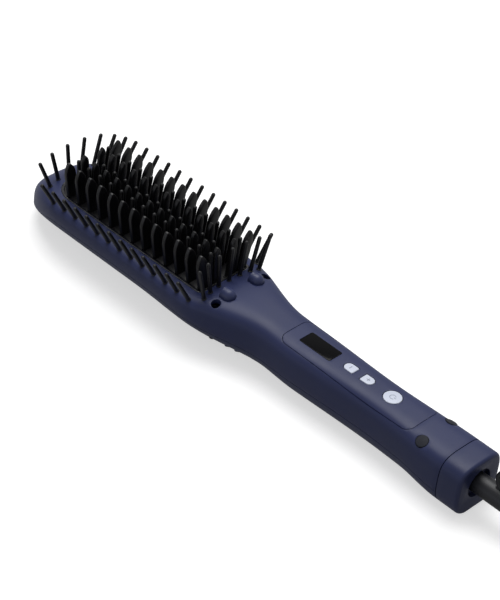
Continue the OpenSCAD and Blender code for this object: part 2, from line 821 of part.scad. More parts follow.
// Swivel at the cord end
swivel_z = 15.5;
cap_round = 1.8;
journal_r = 5.2;
flange_r = 7.4;
tail_r = 3.9;
cavity_r = 8.2;
saddle_x = 4;
cord_r = cord_d / 2;

module end_cap() {
    steps = 6;
    rounding = [for (i = [0 : steps]) [body_len - cap_round + cap_round * sin(i * 90 / steps),
        cap_round * (1 - cos(i * 90 / steps))]];
    first_d = body_len - cap_len + 0.2;
    stops = concat([[first_d, 0], [first_d + 4, 0]], rounding);
    color([0.13, 0.15, 0.26]) difference() {
        union() {
            loft([for (s = stops) full_ring(s[0], 40, s[1])]);
            rod_x(cap_x - 6, cap_x + 2, 0, swivel_z, cavity_r + 1.3);
        }
        rod_x(cap_x - 7, end_x - 7, 0, swivel_z, cavity_r);
        rod_x(cap_x, end_x + 1, 0, swivel_z, journal_r + run_gap);
        rod_x(end_x - 2.6, end_x + 1, 0, swivel_z, journal_r + 2.2);
    }
}

module swivel_collar() {
    color([0.06, 0.06, 0.07]) difference() {
        union() {
            rod_x(end_x - 10.2, end_x - 7.2, 0, swivel_z, flange_r);
            rod_x(end_x - 7.4, end_x - 2.2, 0, swivel_z, journal_r);
            rod_x(end_x - 20, end_x - 10, 0, swivel_z, tail_r);
        }
        rod_x(end_x - 21, end_x, 0, swivel_z, 2.6);
    }
}

module swivel_retainer() {
    color([0.8, 0.8, 0.78]) difference() {
        rod_x(end_x - 12.4, end_x - 10.6, 0, swivel_z, cavity_r - fit_gap);
        rod_x(end_x - 13, end_x - 10, 0, swivel_z, tail_r + move_gap);
    }
}

module slip_rings() {
    color([0.8, 0.62, 0.3]) for (x = [end_x - 19, end_x - 15.6]) difference() {
        rod_x(x, x + 2, 0, swivel_z, tail_r + 0.7);
        rod_x(x - 1, x + 3, 0, swivel_z, tail_r + tiny);
    }
}

// Two leaves that press on the slip rings from above, on a small carrier
module brush_contacts() {
    z = swivel_z + tail_r + 0.7 + 0.1;
    color([0.8, 0.62, 0.3]) for (x = [end_x - 18.6, end_x - 15.2]) {
        translate([x, -3, z]) cube([1.2, 6, 0.5]);
        translate([x, 2.4, z]) cube([1.2, 0.6, 2.9]);
    }
}

// Leads inside the casing
lead_r = 0.9;
lead_z = plate_z - 1.1;
heater_lead_y = 2.8;
mains_lead_y = 1.3;
heater_lead_path = [[at(plate_to_d) - 7, 0, lead_z], [at(plate_to_d) + 7, 0, lead_z],
    [at(150), 0, crown_h - 5.6], [at(163), 0, crown_h - 7.4], [at(172), 0, board_z + 1.2],
    [board_from - tiny, 0, board_z + board_t / 2]];
mains_lead_path = [[end_x - 18, 0, swivel_z + 6.6], [end_x - 24, 0, swivel_z + 7], [end_x - 29, 0, board_z + 1.4],
    [board_to + tiny, 0, board_z + board_t / 2]];

module twin_lead(path, gap) {
    for (s = [-1, 1]) tube([for (p = path) [p[0], p[1] + s * gap, p[2]]], lead_r, 6);
}

module heater_leads() {
    color([0.75, 0.1, 0.08]) twin_lead(heater_lead_path, heater_lead_y);
}

module mains_leads() {
    color([0.3, 0.35, 0.6]) twin_lead(mains_lead_path, mains_lead_y);
}

// Strain relief with grooves and a flat hanging eye, turning with the collar
relief_from = end_x - 2.2;
relief_to = end_x + relief_len;
relief_r0 = 5.1;
relief_r1 = 4.3;
groove_w = 1.4;
groove_n = 6;
eye_r = 4.6;
eye_wall = 2.1;
eye_t = 3.2;
eye_x = end_x + 15;
eye_z = swivel_z + relief_r0 + eye_r + 0.9;

module strain_relief() {
    groove_from = relief_from + 22;
    groove_step = (relief_to - groove_from - 3) / groove_n;
    color([0.05, 0.05, 0.06]) difference() {
        union() {
            translate([relief_from, 0, swivel_z]) rotate([90, 0, 90]) rotate_extrude()
                polygon([[0, 0], [relief_r0, 0], [relief_r0, 20], [relief_r1, relief_to - relief_from],
                    [0, relief_to - relief_from]]);
            translate([eye_x, 0, eye_z]) rotate([90, 0, 0]) cylinder(h = eye_t, r = eye_r + eye_wall, center = true);
            translate([eye_x - 5.6, -eye_t / 2, swivel_z + 2]) cube([11.2, eye_t, eye_z - swivel_z - 2 - eye_r]);
        }
        rod_x(relief_from - 1, relief_to + 1, 0, swivel_z, cord_r + run_gap);
        translate([eye_x, 0, eye_z]) rotate([90, 0, 0]) cylinder(h = eye_t + 2, r = eye_r, center = true);
        for (i = [0 : groove_n - 1]) translate([groove_from + i * groove_step, 0, swivel_z]) rotate([0, 90, 0])
            difference() {
                cylinder(h = groove_w, r = relief_r0 + 1);
                translate([0, 0, -1]) cylinder(h = groove_w + 2, r = relief_r1 - 0.35);
            }
    }
}

// Cord: out of the strain relief, down to the surface, and a coil of three piled layers under its plug
lay_z = cord_r + 0.6;
coil_pitch = cord_d + 0.6;
coil_out = 43;
coil_in = coil_out - coil_turns * coil_pitch;
coil_x = 260;
coil_y = 15;
coil_layers = 3;
coil_top = lay_z + (coil_layers - 1) * coil_pitch;
coil_sides = 6;
coil_steps = 24;
climb_steps = coil_steps / 2;
climb_bulge = coil_pitch / 4;
layer_steps = coil_turns * coil_steps;
lap_steps = layer_steps + climb_steps;
all_steps = coil_layers * lap_steps - climb_steps;
plug_hh = 7;
plug_z = coil_top + cord_r + 0.3 + plug_hh;
tail_rise = 7.9;
rise_steps = coil_steps / 4;
function lap(i) = min(coil_layers - 1, floor(i / lap_steps));
function lap_step(i) = i - lap(i) * lap_steps;
function lap_way(i) = lap(i) % 2 == 0 ? -1 : 1;
function coil_r(i) = (lap_way(i) < 0 ? coil_out : coil_in)
    + lap_way(i) * coil_pitch * min(lap_step(i), layer_steps) / coil_steps
    + lap_way(i) * climb_bulge * sin(180 * max(0, lap_step(i) - layer_steps) / climb_steps);
function coil_z(i) = lay_z + coil_pitch * (lap(i) + ease((lap_step(i) - layer_steps) / climb_steps))
    + tail_rise * ease((i - all_steps + rise_steps) / rise_steps);
function coil_point(i) = let (a = 360 * i / coil_steps - 90)
    [coil_x + coil_r(i) * cos(a), coil_y + coil_r(i) * sin(a), coil_z(i)];
coil_start = coil_point(0) - [cord_d, 0, 0];
coil_end = coil_point(all_steps) + [cord_d, 0, 0];
coil_path = concat([coil_start], [for (i = [0 : all_steps]) coil_point(i)], [coil_end]);

cord_route = [[relief_to, 0, swivel_z], [172, 0, swivel_z], [181, -0.4, 14.9], [191, -2.8, 13], [201, -7, 10.3],
    [211, -12.1, 7.7], [221, -17.5, 5.6], [231, -22.4, 4.4], [242, -26.4, 3.9], coil_start];
tail_route = [coil_end, [272, -13.6, 26.3], [278, -13.6, 26.4], [285, -12.6, 26.6], [291.6, -9.9, 26.8],
    [297.2, -5.7, 27], [301.6, 0, 27.3], [304.3, 6.6, 27.6], [305.2, 13.6, 27.9], [304.3, 20.6, 28.2],
    [301.6, 27.2, 28.4], [297.2, 32.9, 28.6], [291.6, 37.2, 28.8], [285, 40, plug_z], [278, 41, plug_z],
    [272, 41, plug_z]];
plug_x = 272;
plug_at_y = 41;
plug_len = 38;
plug_hw = 13;
pin_apart = 19;
pin_out = 19;
plug_pin_r = 1.98;
pin_root_r = 1.6;
pin_root = 9;

module cord() {
    color([0.04, 0.04, 0.05]) tube(cord_route, cord_r, 8);
}

module cord_coil() {
    color([0.04, 0.04, 0.05]) tube(coil_path, cord_r, coil_sides);
}

module cord_tail() {
    color([0.04, 0.04, 0.05]) tube(tail_route, cord_r, 8);
}

function path_len(p, i = 0) = i >= len(p) - 1 ? 0 : norm(p[i + 1] - p[i]) + path_len(p, i + 1);
// Least distance between the middles of two stretches of the coil that lie a third of a turn or more apart
coil_gap = min([for (i = [0 : 2 : all_steps - 8], j = [i + 8 : all_steps]) norm(coil_point(i) - coil_point(j))])
    - cord_d;
echo("cord length, mm", path_len(cord_route) + path_len(coil_path) + path_len(tail_route));
echo("least gap between turns, mm", coil_gap);

// A flat tie round the coil, on the side where the cord comes in
module cord_tie() {
    tie_t = 0.5;
    tie_w = 8;
    gap = 0.3;
    r0 = coil_in - cord_r - 3 * gap;
    r1 = coil_out + cord_r + gap;
    z1 = coil_top + cord_r + gap;
    color([0.03, 0.03, 0.03]) translate([coil_x, coil_y, 0]) rotate([90, 0, -90])
        translate([0, 0, -tie_w / 2]) linear_extrude(tie_w) difference() {
            translate([r0 - tie_t, 0]) square([r1 - r0 + 2 * tie_t, z1 + tie_t]);
            translate([r0, tie_t]) square([r1 - r0, z1 - tie_t]);
        }
}

// Two-pin mains plug lying on the coil: a wide face, a narrower grip and a neck round the cord
module plug_body() {
    face_x = plug_x - plug_len;
    face_len = 18;
    grip_hw = 9;
    neck_len = 22;
    corner_r = 2;
    color([0.05, 0.05, 0.06]) translate([0, plug_at_y, plug_z]) difference() {
        union() {
            translate([plug_x - neck_len, 0, 0]) rotate([0, 90, 0])
                cylinder(h = neck_len, r1 = plug_hh - 0.4, r2 = cord_r + 1.2);
            slab(face_x, face_x + face_len, plug_hw, corner_r, plug_hw - 5, -plug_hh, plug_hh);
            slab(face_x + face_len / 2, face_x + face_len + 4, grip_hw, corner_r, grip_hw - 2, -plug_hh, plug_hh);
        }
        for (s = [-1, 1]) rod_x(face_x - 1, face_x + pin_root + 1, s * pin_apart / 2, 0, pin_root_r + tiny);
    }
}

module plug_pins() {
    face_x = plug_x - plug_len;
    color([0.78, 0.7, 0.5]) for (s = [-1, 1]) translate([0, plug_at_y + s * pin_apart / 2, plug_z]) {
        rod_x(face_x - pin_out, face_x, 0, 0, plug_pin_r);
        rod_x(face_x - 1, face_x + pin_root, 0, 0, pin_root_r);
        translate([face_x - pin_out, 0, 0]) sphere(r = plug_pin_r);
    }
}

upper_shell();
lower_shell();
end_cap();
comb_plate();
plate_rim();
guard_pins();
heater_tray();
heater_strips();
heater_clamp();
insulation_sheet();
thermal_fuse();
steam_nozzles();
steam_chamber();
steam_hose();
pump_body();
pump_piston();
pump_spring();
steam_trigger();
feed_hose();
water_tank();
filler_plug();
control_panel();
display_window();
display_module();
minus_button();
plus_button();
power_button();
tact_switches();
control_board();
board_screws();
neck_screws();
handle_screws();
screw_plugs();
swivel_collar();
swivel_retainer();
slip_rings();
brush_contacts();
heater_leads();
mains_leads();
strain_relief();
cord();
cord_coil();
cord_tail();
cord_tie();
plug_body();
plug_pins();
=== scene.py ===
"""Looks of a steam hair straightening brush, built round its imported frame.

Sizes are in millimetres and become metres as each mesh is made. X runs from the rounded tip to the cord,
Y across, Z up. Names ending in _D are distances along X from the rounded tip.
"""

import math

import bmesh
import bpy
from mathutils import Matrix, Vector


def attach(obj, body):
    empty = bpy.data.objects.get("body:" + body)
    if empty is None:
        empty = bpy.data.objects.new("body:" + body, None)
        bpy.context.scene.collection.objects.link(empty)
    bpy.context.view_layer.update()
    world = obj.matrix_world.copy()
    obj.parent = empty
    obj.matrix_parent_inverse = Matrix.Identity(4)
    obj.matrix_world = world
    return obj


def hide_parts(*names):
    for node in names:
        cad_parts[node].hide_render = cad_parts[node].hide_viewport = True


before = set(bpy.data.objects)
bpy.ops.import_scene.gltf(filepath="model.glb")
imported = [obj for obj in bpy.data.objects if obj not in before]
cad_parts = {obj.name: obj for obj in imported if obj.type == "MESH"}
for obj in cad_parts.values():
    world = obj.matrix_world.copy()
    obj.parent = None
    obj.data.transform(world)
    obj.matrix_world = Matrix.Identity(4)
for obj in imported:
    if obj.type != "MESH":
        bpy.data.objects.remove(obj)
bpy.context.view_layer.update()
MM = 0.001

# ---- Driving sizes of the casing, as in the part's source
BODY_LEN = 290
CAP_LEN = 12.4
RELIEF_LEN = 42
BODY_H = 28.3
HEAD_W = 50.6
HEAD_H = 28.1
NECK_W = 28.2
WAIST_W = 24.6
END_W = 28.4
WALL = 2.2
NOSE_LEN = 36
NOSE_POWER = 1.8
NOSE_LEAST = 0.002
TIP_X = -(BODY_LEN + RELIEF_LEN) / 2
END_X = TIP_X + BODY_LEN
CAP_D = BODY_LEN - CAP_LEN
SIDE_FROM_D = 102
NECK_FROM_D = 122
NECK_TO_D = 169
WAIST_D = 231
END_D = 277
CROWN_H = HEAD_H + 2
NOSE_Z = 8
HEAD_SIDE_Z = HEAD_H - 6.7
HANDLE_SIDE_Z = 15.3
HEAD_UNDER_POWER = 1.64
HANDLE_UNDER_POWER = 1.96
END_UNDER_POWER = 2.8
TOP_POWER = 3.6
RISE_POWER = 2.9
RISE_ROOT = 1.5
GRIP_LIFT = 1.5
SINK = 0.6
END_DROP = 0.4
SPLIT_A = 15
SEAM_GAP = 0.35
FIT_GAP = 0.1

# ---- Camera of the photograph
AIM = (-21.2, 0.4, 26)
AZIMUTH = 40.28
ELEVATION = 38.15
ROLL = 7.56
DISTANCE = 1064.2
LENS = 163.1
SENSOR = 36


def at(d):
    return TIP_X + d


def cos_of(degrees):
    return math.cos(math.radians(degrees))


def sin_of(degrees):
    return math.sin(math.radians(degrees))


def placed(name, data):
    """A new object of the scene that shows the data."""
    obj = bpy.data.objects.new(name, data)
    bpy.context.scene.collection.objects.link(obj)
    return obj


def make_camera():
    a, e, r = (math.radians(x) for x in (AZIMUTH, ELEVATION, ROLL))
    back = Vector((math.cos(e) * math.sin(a), -math.cos(e) * math.cos(a), math.sin(e)))
    level = Vector((0, 0, 1)).cross(back).normalized()
    upright = back.cross(level)
    right = math.cos(r) * level + math.sin(r) * upright
    up = math.cos(r) * upright - math.sin(r) * level
    data = bpy.data.cameras.new("camera")
    data.sensor_fit = "HORIZONTAL"
    data.sensor_width = SENSOR
    data.lens = LENS
    data.clip_start = 0.05
    data.clip_end = 20
    camera = placed("camera", data)
    place = (Vector(AIM) + DISTANCE * back) * MM
    camera.matrix_world = Matrix.Translation(place) @ Matrix((right, up, back)).transposed().to_4x4()
    bpy.context.scene.camera = camera


make_camera()


# ---- Shader groups: effects that several finishes share
NOISE_LOW = 0.3
NOISE_HIGH = 0.7
GRAIN_DEPTH = 0.00002
FINE_SHARE = 0.35
WIDE_SCALE = 90.0
SPECK_SHARE = 0.4
SPECK_SCALE = 1900.0
TONE_MIDDLE = 0.7


def new_group(name, inputs, outputs):
    group = bpy.data.node_groups.new(name, "ShaderNodeTree")
    for label, kind, value in inputs:
        socket = group.interface.new_socket(label, in_out="INPUT", socket_type=kind)
        socket.default_value = value
    for label, kind in outputs:
        group.interface.new_socket(label, in_out="OUTPUT", socket_type=kind)
    return group, group.nodes.new("NodeGroupInput"), group.nodes.new("NodeGroupOutput")


def feed(tree, value, socket):
    """Links an output to the socket, or writes a plain value on it."""
    if isinstance(value, bpy.types.NodeSocket):
        tree.links.new(value, socket)
    else:
        socket.default_value = value


def math_node(tree, operation, *values):
    node = tree.nodes.new("ShaderNodeMath")
    node.operation = operation
    for value, socket in zip(values, node.inputs):
        feed(tree, value, socket)
    return node.outputs[0]


def noise_node(tree, coord, scale, detail):
    node = tree.nodes.new("ShaderNodeTexNoise")
    for label, value in (("Vector", coord), ("Scale", scale), ("Detail", detail)):
        feed(tree, value, node.inputs[label])
    return node.outputs["Fac"]


def ranged(tree, value, low, high, from_low=0.0, from_high=1.0):
    node = tree.nodes.new("ShaderNodeMapRange")
    labels = ("Value", "From Min", "From Max", "To Min", "To Max")
    for label, end in zip(labels, (value, from_low, from_high, low, high)):
        feed(tree, end, node.inputs[label])
    return node.outputs["Result"]


def make_grain_group():
    """Spark-eroded mould grain: a bump, and a roughness that goes with it."""
    group, ins, outs = new_group(
        "mould grain",
        [("Grain Scale", "NodeSocketFloat", 2600.0), ("Grain Height", "NodeSocketFloat", 0.1),
         ("Rough Low", "NodeSocketFloat", 0.35), ("Rough High", "NodeSocketFloat", 0.5)],
        [("Roughness", "NodeSocketFloat"), ("Normal", "NodeSocketVector")])
    coord = group.nodes.new("ShaderNodeTexCoord").outputs["Object"]
    fine = noise_node(group, coord, ins.outputs["Grain Scale"], 2.0)
    wide = noise_node(group, coord, WIDE_SCALE, 4.0)
    bump = group.nodes.new("ShaderNodeBump")
    bump.inputs["Distance"].default_value = GRAIN_DEPTH
    feed(group, ins.outputs["Grain Height"], bump.inputs["Strength"])
    feed(group, fine, bump.inputs["Height"])
    mix = math_node(group, "MULTIPLY_ADD", fine, FINE_SHARE, wide)
    rough = ranged(group, mix, ins.outputs["Rough Low"], ins.outputs["Rough High"], NOISE_LOW, NOISE_HIGH)
    feed(group, rough, outs.inputs["Roughness"])
    feed(group, bump.outputs["Normal"], outs.inputs["Normal"])
    return group


def make_tone_group():
    """A colour that drifts slightly over a piece, with faint handling marks."""
    group, ins, outs = new_group(
        "drifting tone",
        [("Base", "NodeSocketColor", (0.5, 0.5, 0.5, 1)), ("Drift", "NodeSocketFloat", 0.08),
         ("Drift Scale", "NodeSocketFloat", 45.0)],
        [("Colour", "NodeSocketColor")])
    coord = group.nodes.new("ShaderNodeTexCoord").outputs["Object"]
    cloud = noise_node(group, coord, ins.outputs["Drift Scale"], 5.0)
    speck = noise_node(group, coord, SPECK_SCALE, 1.0)
    both = math_node(group, "MULTIPLY_ADD", speck, SPECK_SHARE, cloud)
    centred = math_node(group, "SUBTRACT", both, TONE_MIDDLE)
    share = math_node(group, "MULTIPLY_ADD", centred, ins.outputs["Drift"], 1.0)
    scale = group.nodes.new("ShaderNodeVectorMath")
    scale.operation = "SCALE"
    feed(group, ins.outputs["Base"], scale.inputs[0])
    feed(group, share, scale.inputs["Scale"])
    feed(group, scale.outputs["Vector"], outs.inputs["Colour"])
    return group


GRAIN = make_grain_group()
TONE = make_tone_group()


def srgb(r, g, b):
    """A colour read off a screen, 0 to 255, as a linear colour."""
    def line(c):
        c /= 255
        return c / 12.92 if c <= 0.04045 else ((c + 0.055) / 1.055) ** 2.4
    return (line(r), line(g), line(b), 1)


def group_outputs(tree, group, **values):
    node = tree.nodes.new("ShaderNodeGroup")
    node.node_tree = group
    for label, value in values.items():
        node.inputs[label.replace("_", " ")].default_value = value
    return node.outputs


def finish_of(name, screen, rough, grain, drift, drift_scale=45, specular=0.5, **fixed):
    """A material from a screen colour: the tone and grain groups into one Principled shader.

    Rough is its least and most roughness, grain its scale and height, and fixed holds other sockets' values.
    """
    colour = srgb(*screen)
    material = bpy.data.materials.new(name)
    material.use_nodes = True
    tree = material.node_tree
    shader = tree.nodes["Principled BSDF"]
    tone = group_outputs(tree, TONE, Base=colour, Drift=drift, Drift_Scale=drift_scale)
    surface = group_outputs(tree, GRAIN, Grain_Scale=grain[0], Grain_Height=grain[1], Rough_Low=rough[0],
                            Rough_High=rough[1])
    feed(tree, tone["Colour"], shader.inputs["Base Color"])
    for label in ("Roughness", "Normal"):
        feed(tree, surface[label], shader.inputs[label])
    shader.inputs["Specular IOR Level"].default_value = specular
    for label, value in fixed.items():
        shader.inputs[label.replace("_", " ")].default_value = value
    material.diffuse_color = colour
    return material


def metal(name, screen, rough):
    return finish_of(name, screen, rough, (900, 0.12), 0.25, 120, Metallic=1.0)


NAVY = finish_of("navy satin moulding", (39, 46, 82), (0.36, 0.46), (2300, 0.3), 0.3, specular=0.28)
NAVY_BACK = finish_of("navy back moulding", (38, 45, 80), (0.36, 0.46), (2300, 0.3), 0.3, specular=0.28)
NAVY_TRIM = finish_of("navy trim moulding", (43, 50, 86), (0.32, 0.42), (2300, 0.25), 0.3, specular=0.35)
COMB_BLACK = finish_of("black comb coating", (8, 8, 11), (0.26, 0.38), (1800, 0.2), 0.5, specular=0.35)
RIM_BLACK = finish_of("glossy black rim", (22, 23, 30), (0.14, 0.2), (1500, 0.05), 0.2, Coat_Weight=0.5,
                      Coat_Roughness=0.1)
PIN_BLACK = finish_of("black nylon pins", (9, 9, 13), (0.3, 0.42), (2600, 0.2), 0.4, specular=0.4)
LENS_BLACK = finish_of("black display lens", (3, 3, 5), (0.08, 0.12), (700, 0.02), 0.1, specular=0.08)
KEY_GREY = finish_of("pale key moulding", (202, 208, 224), (0.3, 0.4), (2300, 0.15), 0.06)
MARK_GREY = finish_of("printed key mark", (150, 156, 172), (0.4, 0.5), (2300, 0.1), 0.1)
PLUG_GREY = finish_of("screw plug rubber", (22, 25, 35), (0.5, 0.62), (2100, 0.4), 0.3, specular=0.25)
SLEEVE_BLACK = finish_of("soft sleeve rubber", (20, 21, 27), (0.34, 0.46), (1700, 0.35), 0.3, specular=0.4)
CORD_BLACK = finish_of("cord jacket", (20, 21, 27), (0.34, 0.46), (1500, 0.35), 0.3, specular=0.4)
STRAP_BLACK = finish_of("soft strap", (18, 18, 21), (0.6, 0.75), (3200, 0.7), 0.3)
MAINS_BLACK = finish_of("mains plug moulding", (22, 22, 26), (0.34, 0.46), (1900, 0.3), 0.3)
OXIDE = finish_of("black oxide screw", (46, 46, 50), (0.3, 0.42), (1100, 0.25), 0.3, Metallic=0.9)
# Painted shade: a dark navy put in the split line, the screw bores and round and inside the nozzle hoods,
# where only shade falls on the navy casing.
PAINTED_SHADE_NAVY = finish_of("painted shade in hollows", (16, 18, 28), (0.5, 0.6), (2300, 0.2), 0.2)
STEEL = metal("plated steel", (196, 197, 200), (0.22, 0.34))
ALLOY = metal("cast alloy", (178, 179, 176), (0.42, 0.56))
BRASS = metal("plated brass", (206, 178, 112), (0.18, 0.3))
CERAMIC = finish_of("pale ceramic", (226, 221, 208), (0.4, 0.55), (2000, 0.2), 0.1)
MICA = finish_of("mica sheet", (180, 160, 120), (0.3, 0.5), (600, 0.4), 0.5)
TRAY = finish_of("heatproof moulding", (214, 208, 194), (0.5, 0.62), (1800, 0.3), 0.15)
PUMP_WHITE = finish_of("pump moulding", (225, 225, 225), (0.3, 0.45), (2200, 0.15), 0.1)
DARK_MOULD = finish_of("dark inner moulding", (70, 72, 76), (0.45, 0.6), (2200, 0.25), 0.2)
SILICONE = finish_of("silicone hose", (228, 226, 220), (0.3, 0.42), (900, 0.15), 0.1, Transmission_Weight=0.4)
CLEAR = finish_of("clear tank", (214, 226, 238), (0.06, 0.12), (300, 0.05), 0.05, Transmission_Weight=0.85,
                  IOR=1.49)
BOARD = finish_of("solder mask", (28, 104, 62), (0.25, 0.35), (700, 0.3), 0.6, Coat_Weight=0.3)
LEAD_RED = finish_of("red lead", (172, 36, 30), (0.35, 0.5), (1200, 0.2), 0.2)
LEAD_BLUE = finish_of("blue lead", (60, 80, 160), (0.35, 0.5), (1200, 0.2), 0.2)

CARRIED_OVER = {
    "heater_tray": TRAY, "heater_strips": CERAMIC, "heater_clamp": ALLOY, "insulation_sheet": MICA,
    "thermal_fuse": STEEL, "steam_chamber": ALLOY, "steam_hose": SILICONE, "pump_body": PUMP_WHITE,
    "pump_piston": DARK_MOULD, "pump_spring": STEEL, "feed_hose": SILICONE, "water_tank": CLEAR,
    "display_module": DARK_MOULD, "tact_switches": DARK_MOULD, "control_board": BOARD, "board_screws": STEEL,
    "handle_screws": OXIDE, "swivel_collar": SLEEVE_BLACK, "swivel_retainer": PUMP_WHITE, "slip_rings": BRASS,
    "brush_contacts": BRASS, "heater_leads": LEAD_RED, "mains_leads": LEAD_BLUE, "plug_pins": BRASS,
    "neck_screws": OXIDE,
}


def finish_carried_nodes():
    for node, material in CARRIED_OVER.items():
        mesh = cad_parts[node].data
        mesh.materials.clear()
        mesh.materials.append(material)


finish_carried_nodes()


# ---- Skin of the casing, the formulas of the part's source
def ease(t):
    c = max(0.0, min(1.0, t))
    return c * c * (3 - 2 * c)


def blend(a, b, d0, d1, d):
    return a + (b - a) * ease((d - d0) / (d1 - d0))


def half_w(d):
    to_neck = blend(HEAD_W, NECK_W, NECK_FROM_D, NECK_TO_D, d)
    to_waist = blend(0, WAIST_W - NECK_W, NECK_TO_D + 8, WAIST_D, d)
    to_end = blend(0, END_W - WAIST_W, WAIST_D, END_D, d)
    return (to_neck + to_waist + to_end) / 2


def side_z(d):
    to_handle = blend(0, HANDLE_SIDE_Z - HEAD_SIDE_Z, SIDE_FROM_D, NECK_TO_D, d)
    return blend(NOSE_Z, HEAD_SIDE_Z, 0, NOSE_LEN, d) + to_handle


def top_z(d):
    return (blend(HEAD_H, CROWN_H, NECK_FROM_D, NECK_FROM_D + 18, d)
            + blend(0, BODY_H - CROWN_H, NECK_FROM_D + 21, NECK_TO_D + 14, d)
            - blend(0, END_DROP, END_D - 40, END_D, d))


def low_z(d):
    return (blend(-SINK, GRIP_LIFT, SIDE_FROM_D + 6, SIDE_FROM_D + 30, d)
            - blend(0, GRIP_LIFT + SINK, NECK_TO_D - 6, NECK_TO_D + 17, d))


def low_power(d):
    return (blend(HEAD_UNDER_POWER, HANDLE_UNDER_POWER, 87, 147, d)
            + blend(0, END_UNDER_POWER - HANDLE_UNDER_POWER, END_D - 24, END_D, d))


def bowed(c, power):
    """A sine or cosine drawn out towards a square section."""
    return math.copysign(abs(c) ** (2 / power), c)


def nose_u(d, off):
    return max(0.0, (NOSE_LEN - d) / (NOSE_LEN - off))


def nose_plan(d, off):
    return max(NOSE_LEAST, 1 - nose_u(d, off) ** NOSE_POWER) ** (1 / NOSE_POWER)


def nose_high(d, off):
    return max(NOSE_LEAST, 1 - nose_u(d, off) ** RISE_POWER) ** (1 / RISE_ROOT)


def skin(d, t, off=0.0):
    """The point of the skin at an angle round the section, in degrees, set in by off."""
    c, s = cos_of(t), sin_of(t)
    over = s >= 0
    power = TOP_POWER if over else low_power(d)
    y = (half_w(d) - off) * nose_plan(d, off) * bowed(c, power)
    middle, high = side_z(d), nose_high(d, off)
    if over:
        z = middle + (top_z(d) - off - middle) * high * s ** (2 / TOP_POWER)
    else:
        z = max(middle - (middle - low_z(d) - off) * high * (-s) ** (2 / power), 0, off)
    return (at(d), y, z)


def deck_z(d, y):
    """Height of the skin's upper side, y off its middle."""
    across = min(1.0, abs(y) / half_w(d) / nose_plan(d, 0))
    crown = max(0.0, 1 - across ** TOP_POWER) ** (1 / TOP_POWER)
    return side_z(d) + (top_z(d) - side_z(d)) * nose_high(d, 0) * crown


# ---- Mesh making
MERGE_M = 1e-7
POLE_R = 0.001


def piece(name, points, faces, material, sharp=32):
    """A mesh object with its place in its mesh, faces outwards and edges above sharp degrees kept crisp."""
    mesh = bpy.data.meshes.new(name)
    mesh.from_pydata([Vector(p) * MM for p in points], [], faces)
    work = bmesh.new()
    work.from_mesh(mesh)
    bmesh.ops.remove_doubles(work, verts=work.verts, dist=MERGE_M)
    bmesh.ops.recalc_face_normals(work, faces=work.faces)
    work.to_mesh(mesh)
    work.free()
    mesh.materials.append(material)
    return crisp(placed(name, mesh), sharp)


def crisp(obj, sharp=32):
    obj.data.shade_smooth()
    obj.data.set_sharp_from_angle(angle=math.radians(sharp))
    return obj


def settle(obj):
    """Turns the result of a piece's modifiers into its own plain mesh."""
    graph = bpy.context.evaluated_depsgraph_get()
    mesh = bpy.data.meshes.new_from_object(obj.evaluated_get(graph))
    obj.modifiers.clear()
    obj.data = mesh
    return obj


def joined(obj, *others):
    """Adds the other pieces' meshes to obj, with their finishes, and removes them."""
    work = bmesh.new()
    work.from_mesh(obj.data)
    for other in others:
        material = other.data.materials[0]
        if material.name not in obj.data.materials:
            obj.data.materials.append(material)
        index = list(obj.data.materials).index(material)
        start = len(work.faces)
        work.from_mesh(other.data)
        work.faces.ensure_lookup_table()
        for face in work.faces[start:]:
            face.material_index = index
        bpy.data.objects.remove(other)
    work.to_mesh(obj.data)
    work.free()
    return obj


def carve(obj, cutter, operation="DIFFERENCE", sharp=32):
    modifier = obj.modifiers.new("carve", "BOOLEAN")
    modifier.object = cutter
    modifier.operation = operation
    modifier.solver = "MANIFOLD"
    settle(obj)
    bpy.data.objects.remove(cutter)
    return crisp(obj, sharp)


def soften(obj, width, segments=2):
    """Rounds a piece's crisp edges by width millimetres."""
    modifier = obj.modifiers.new("soften", "BEVEL")
    modifier.width = width * MM
    modifier.segments = segments
    modifier.limit_method = "ANGLE"
    modifier.angle_limit = math.radians(40)
    modifier.use_clamp_overlap = True
    settle(obj)
    return crisp(obj, 50)


def walls(rings, spans):
    """Points and side faces through rings of equally many points, over so many spans."""
    count, turns = len(rings[0]), len(rings)
    points = [p for ring in rings for p in ring]
    faces = []
    for i in range(spans):
        a, b = i * count, (i + 1) % turns * count
        faces += [(a + j, a + (j + 1) % count, b + (j + 1) % count, b + j) for j in range(count)]
    return points, faces


def lofted(rings, capped=True):
    """Points and faces of a form from the first ring to the last."""
    points, faces = walls(rings, len(rings) - 1)
    if capped:
        count = len(rings[0])
        faces += [tuple(range(count))[::-1], tuple(range(len(points) - count, len(points)))]
    return points, faces


def looped(rings):
    """A ring-shaped form: the last ring joins the first."""
    return walls(rings, len(rings))


def spread(a, b, count):
    return [a + (b - a) * i / count for i in range(count + 1)]


def nose_pairs(off_out, off_in, count=22):
    return [tuple(off + (NOSE_LEN - off) * (1 - cos_of(a)) for off in (off_out, off_in))
            for a in spread(0, 90, count)]


def run_pairs(d0, d1, step):
    return [(d, d) for d in spread(d0, d1, max(1, round(abs(d1 - d0) / step)))[1:]]


def band(name, pairs, t0, t1, steps, off_out, off_in, material):
    """A closed strip of casing between two depths."""
    angles = spread(t0, t1, steps)
    rings = [[skin(d_out, t, off_out) for t in angles] + [skin(d_in, t, off_in) for t in reversed(angles)]
             for d_out, d_in in pairs]
    points, faces = lofted(rings, capped=False)
    count = 2 * len(angles)
    for base, flip in ((0, False), ((len(rings) - 1) * count, True)):
        for j in range(steps):
            quad = (base + j, base + j + 1, base + count - 2 - j, base + count - 1 - j)
            faces.append(quad[::-1] if flip else quad)
    return piece(name, points, faces, material)


def long_pairs(off_out, off_in, end_d):
    return (nose_pairs(off_out, off_in) + run_pairs(NOSE_LEN, 100, 4) + run_pairs(100, 190, 1.6)
            + run_pairs(190, end_d, 3.2))


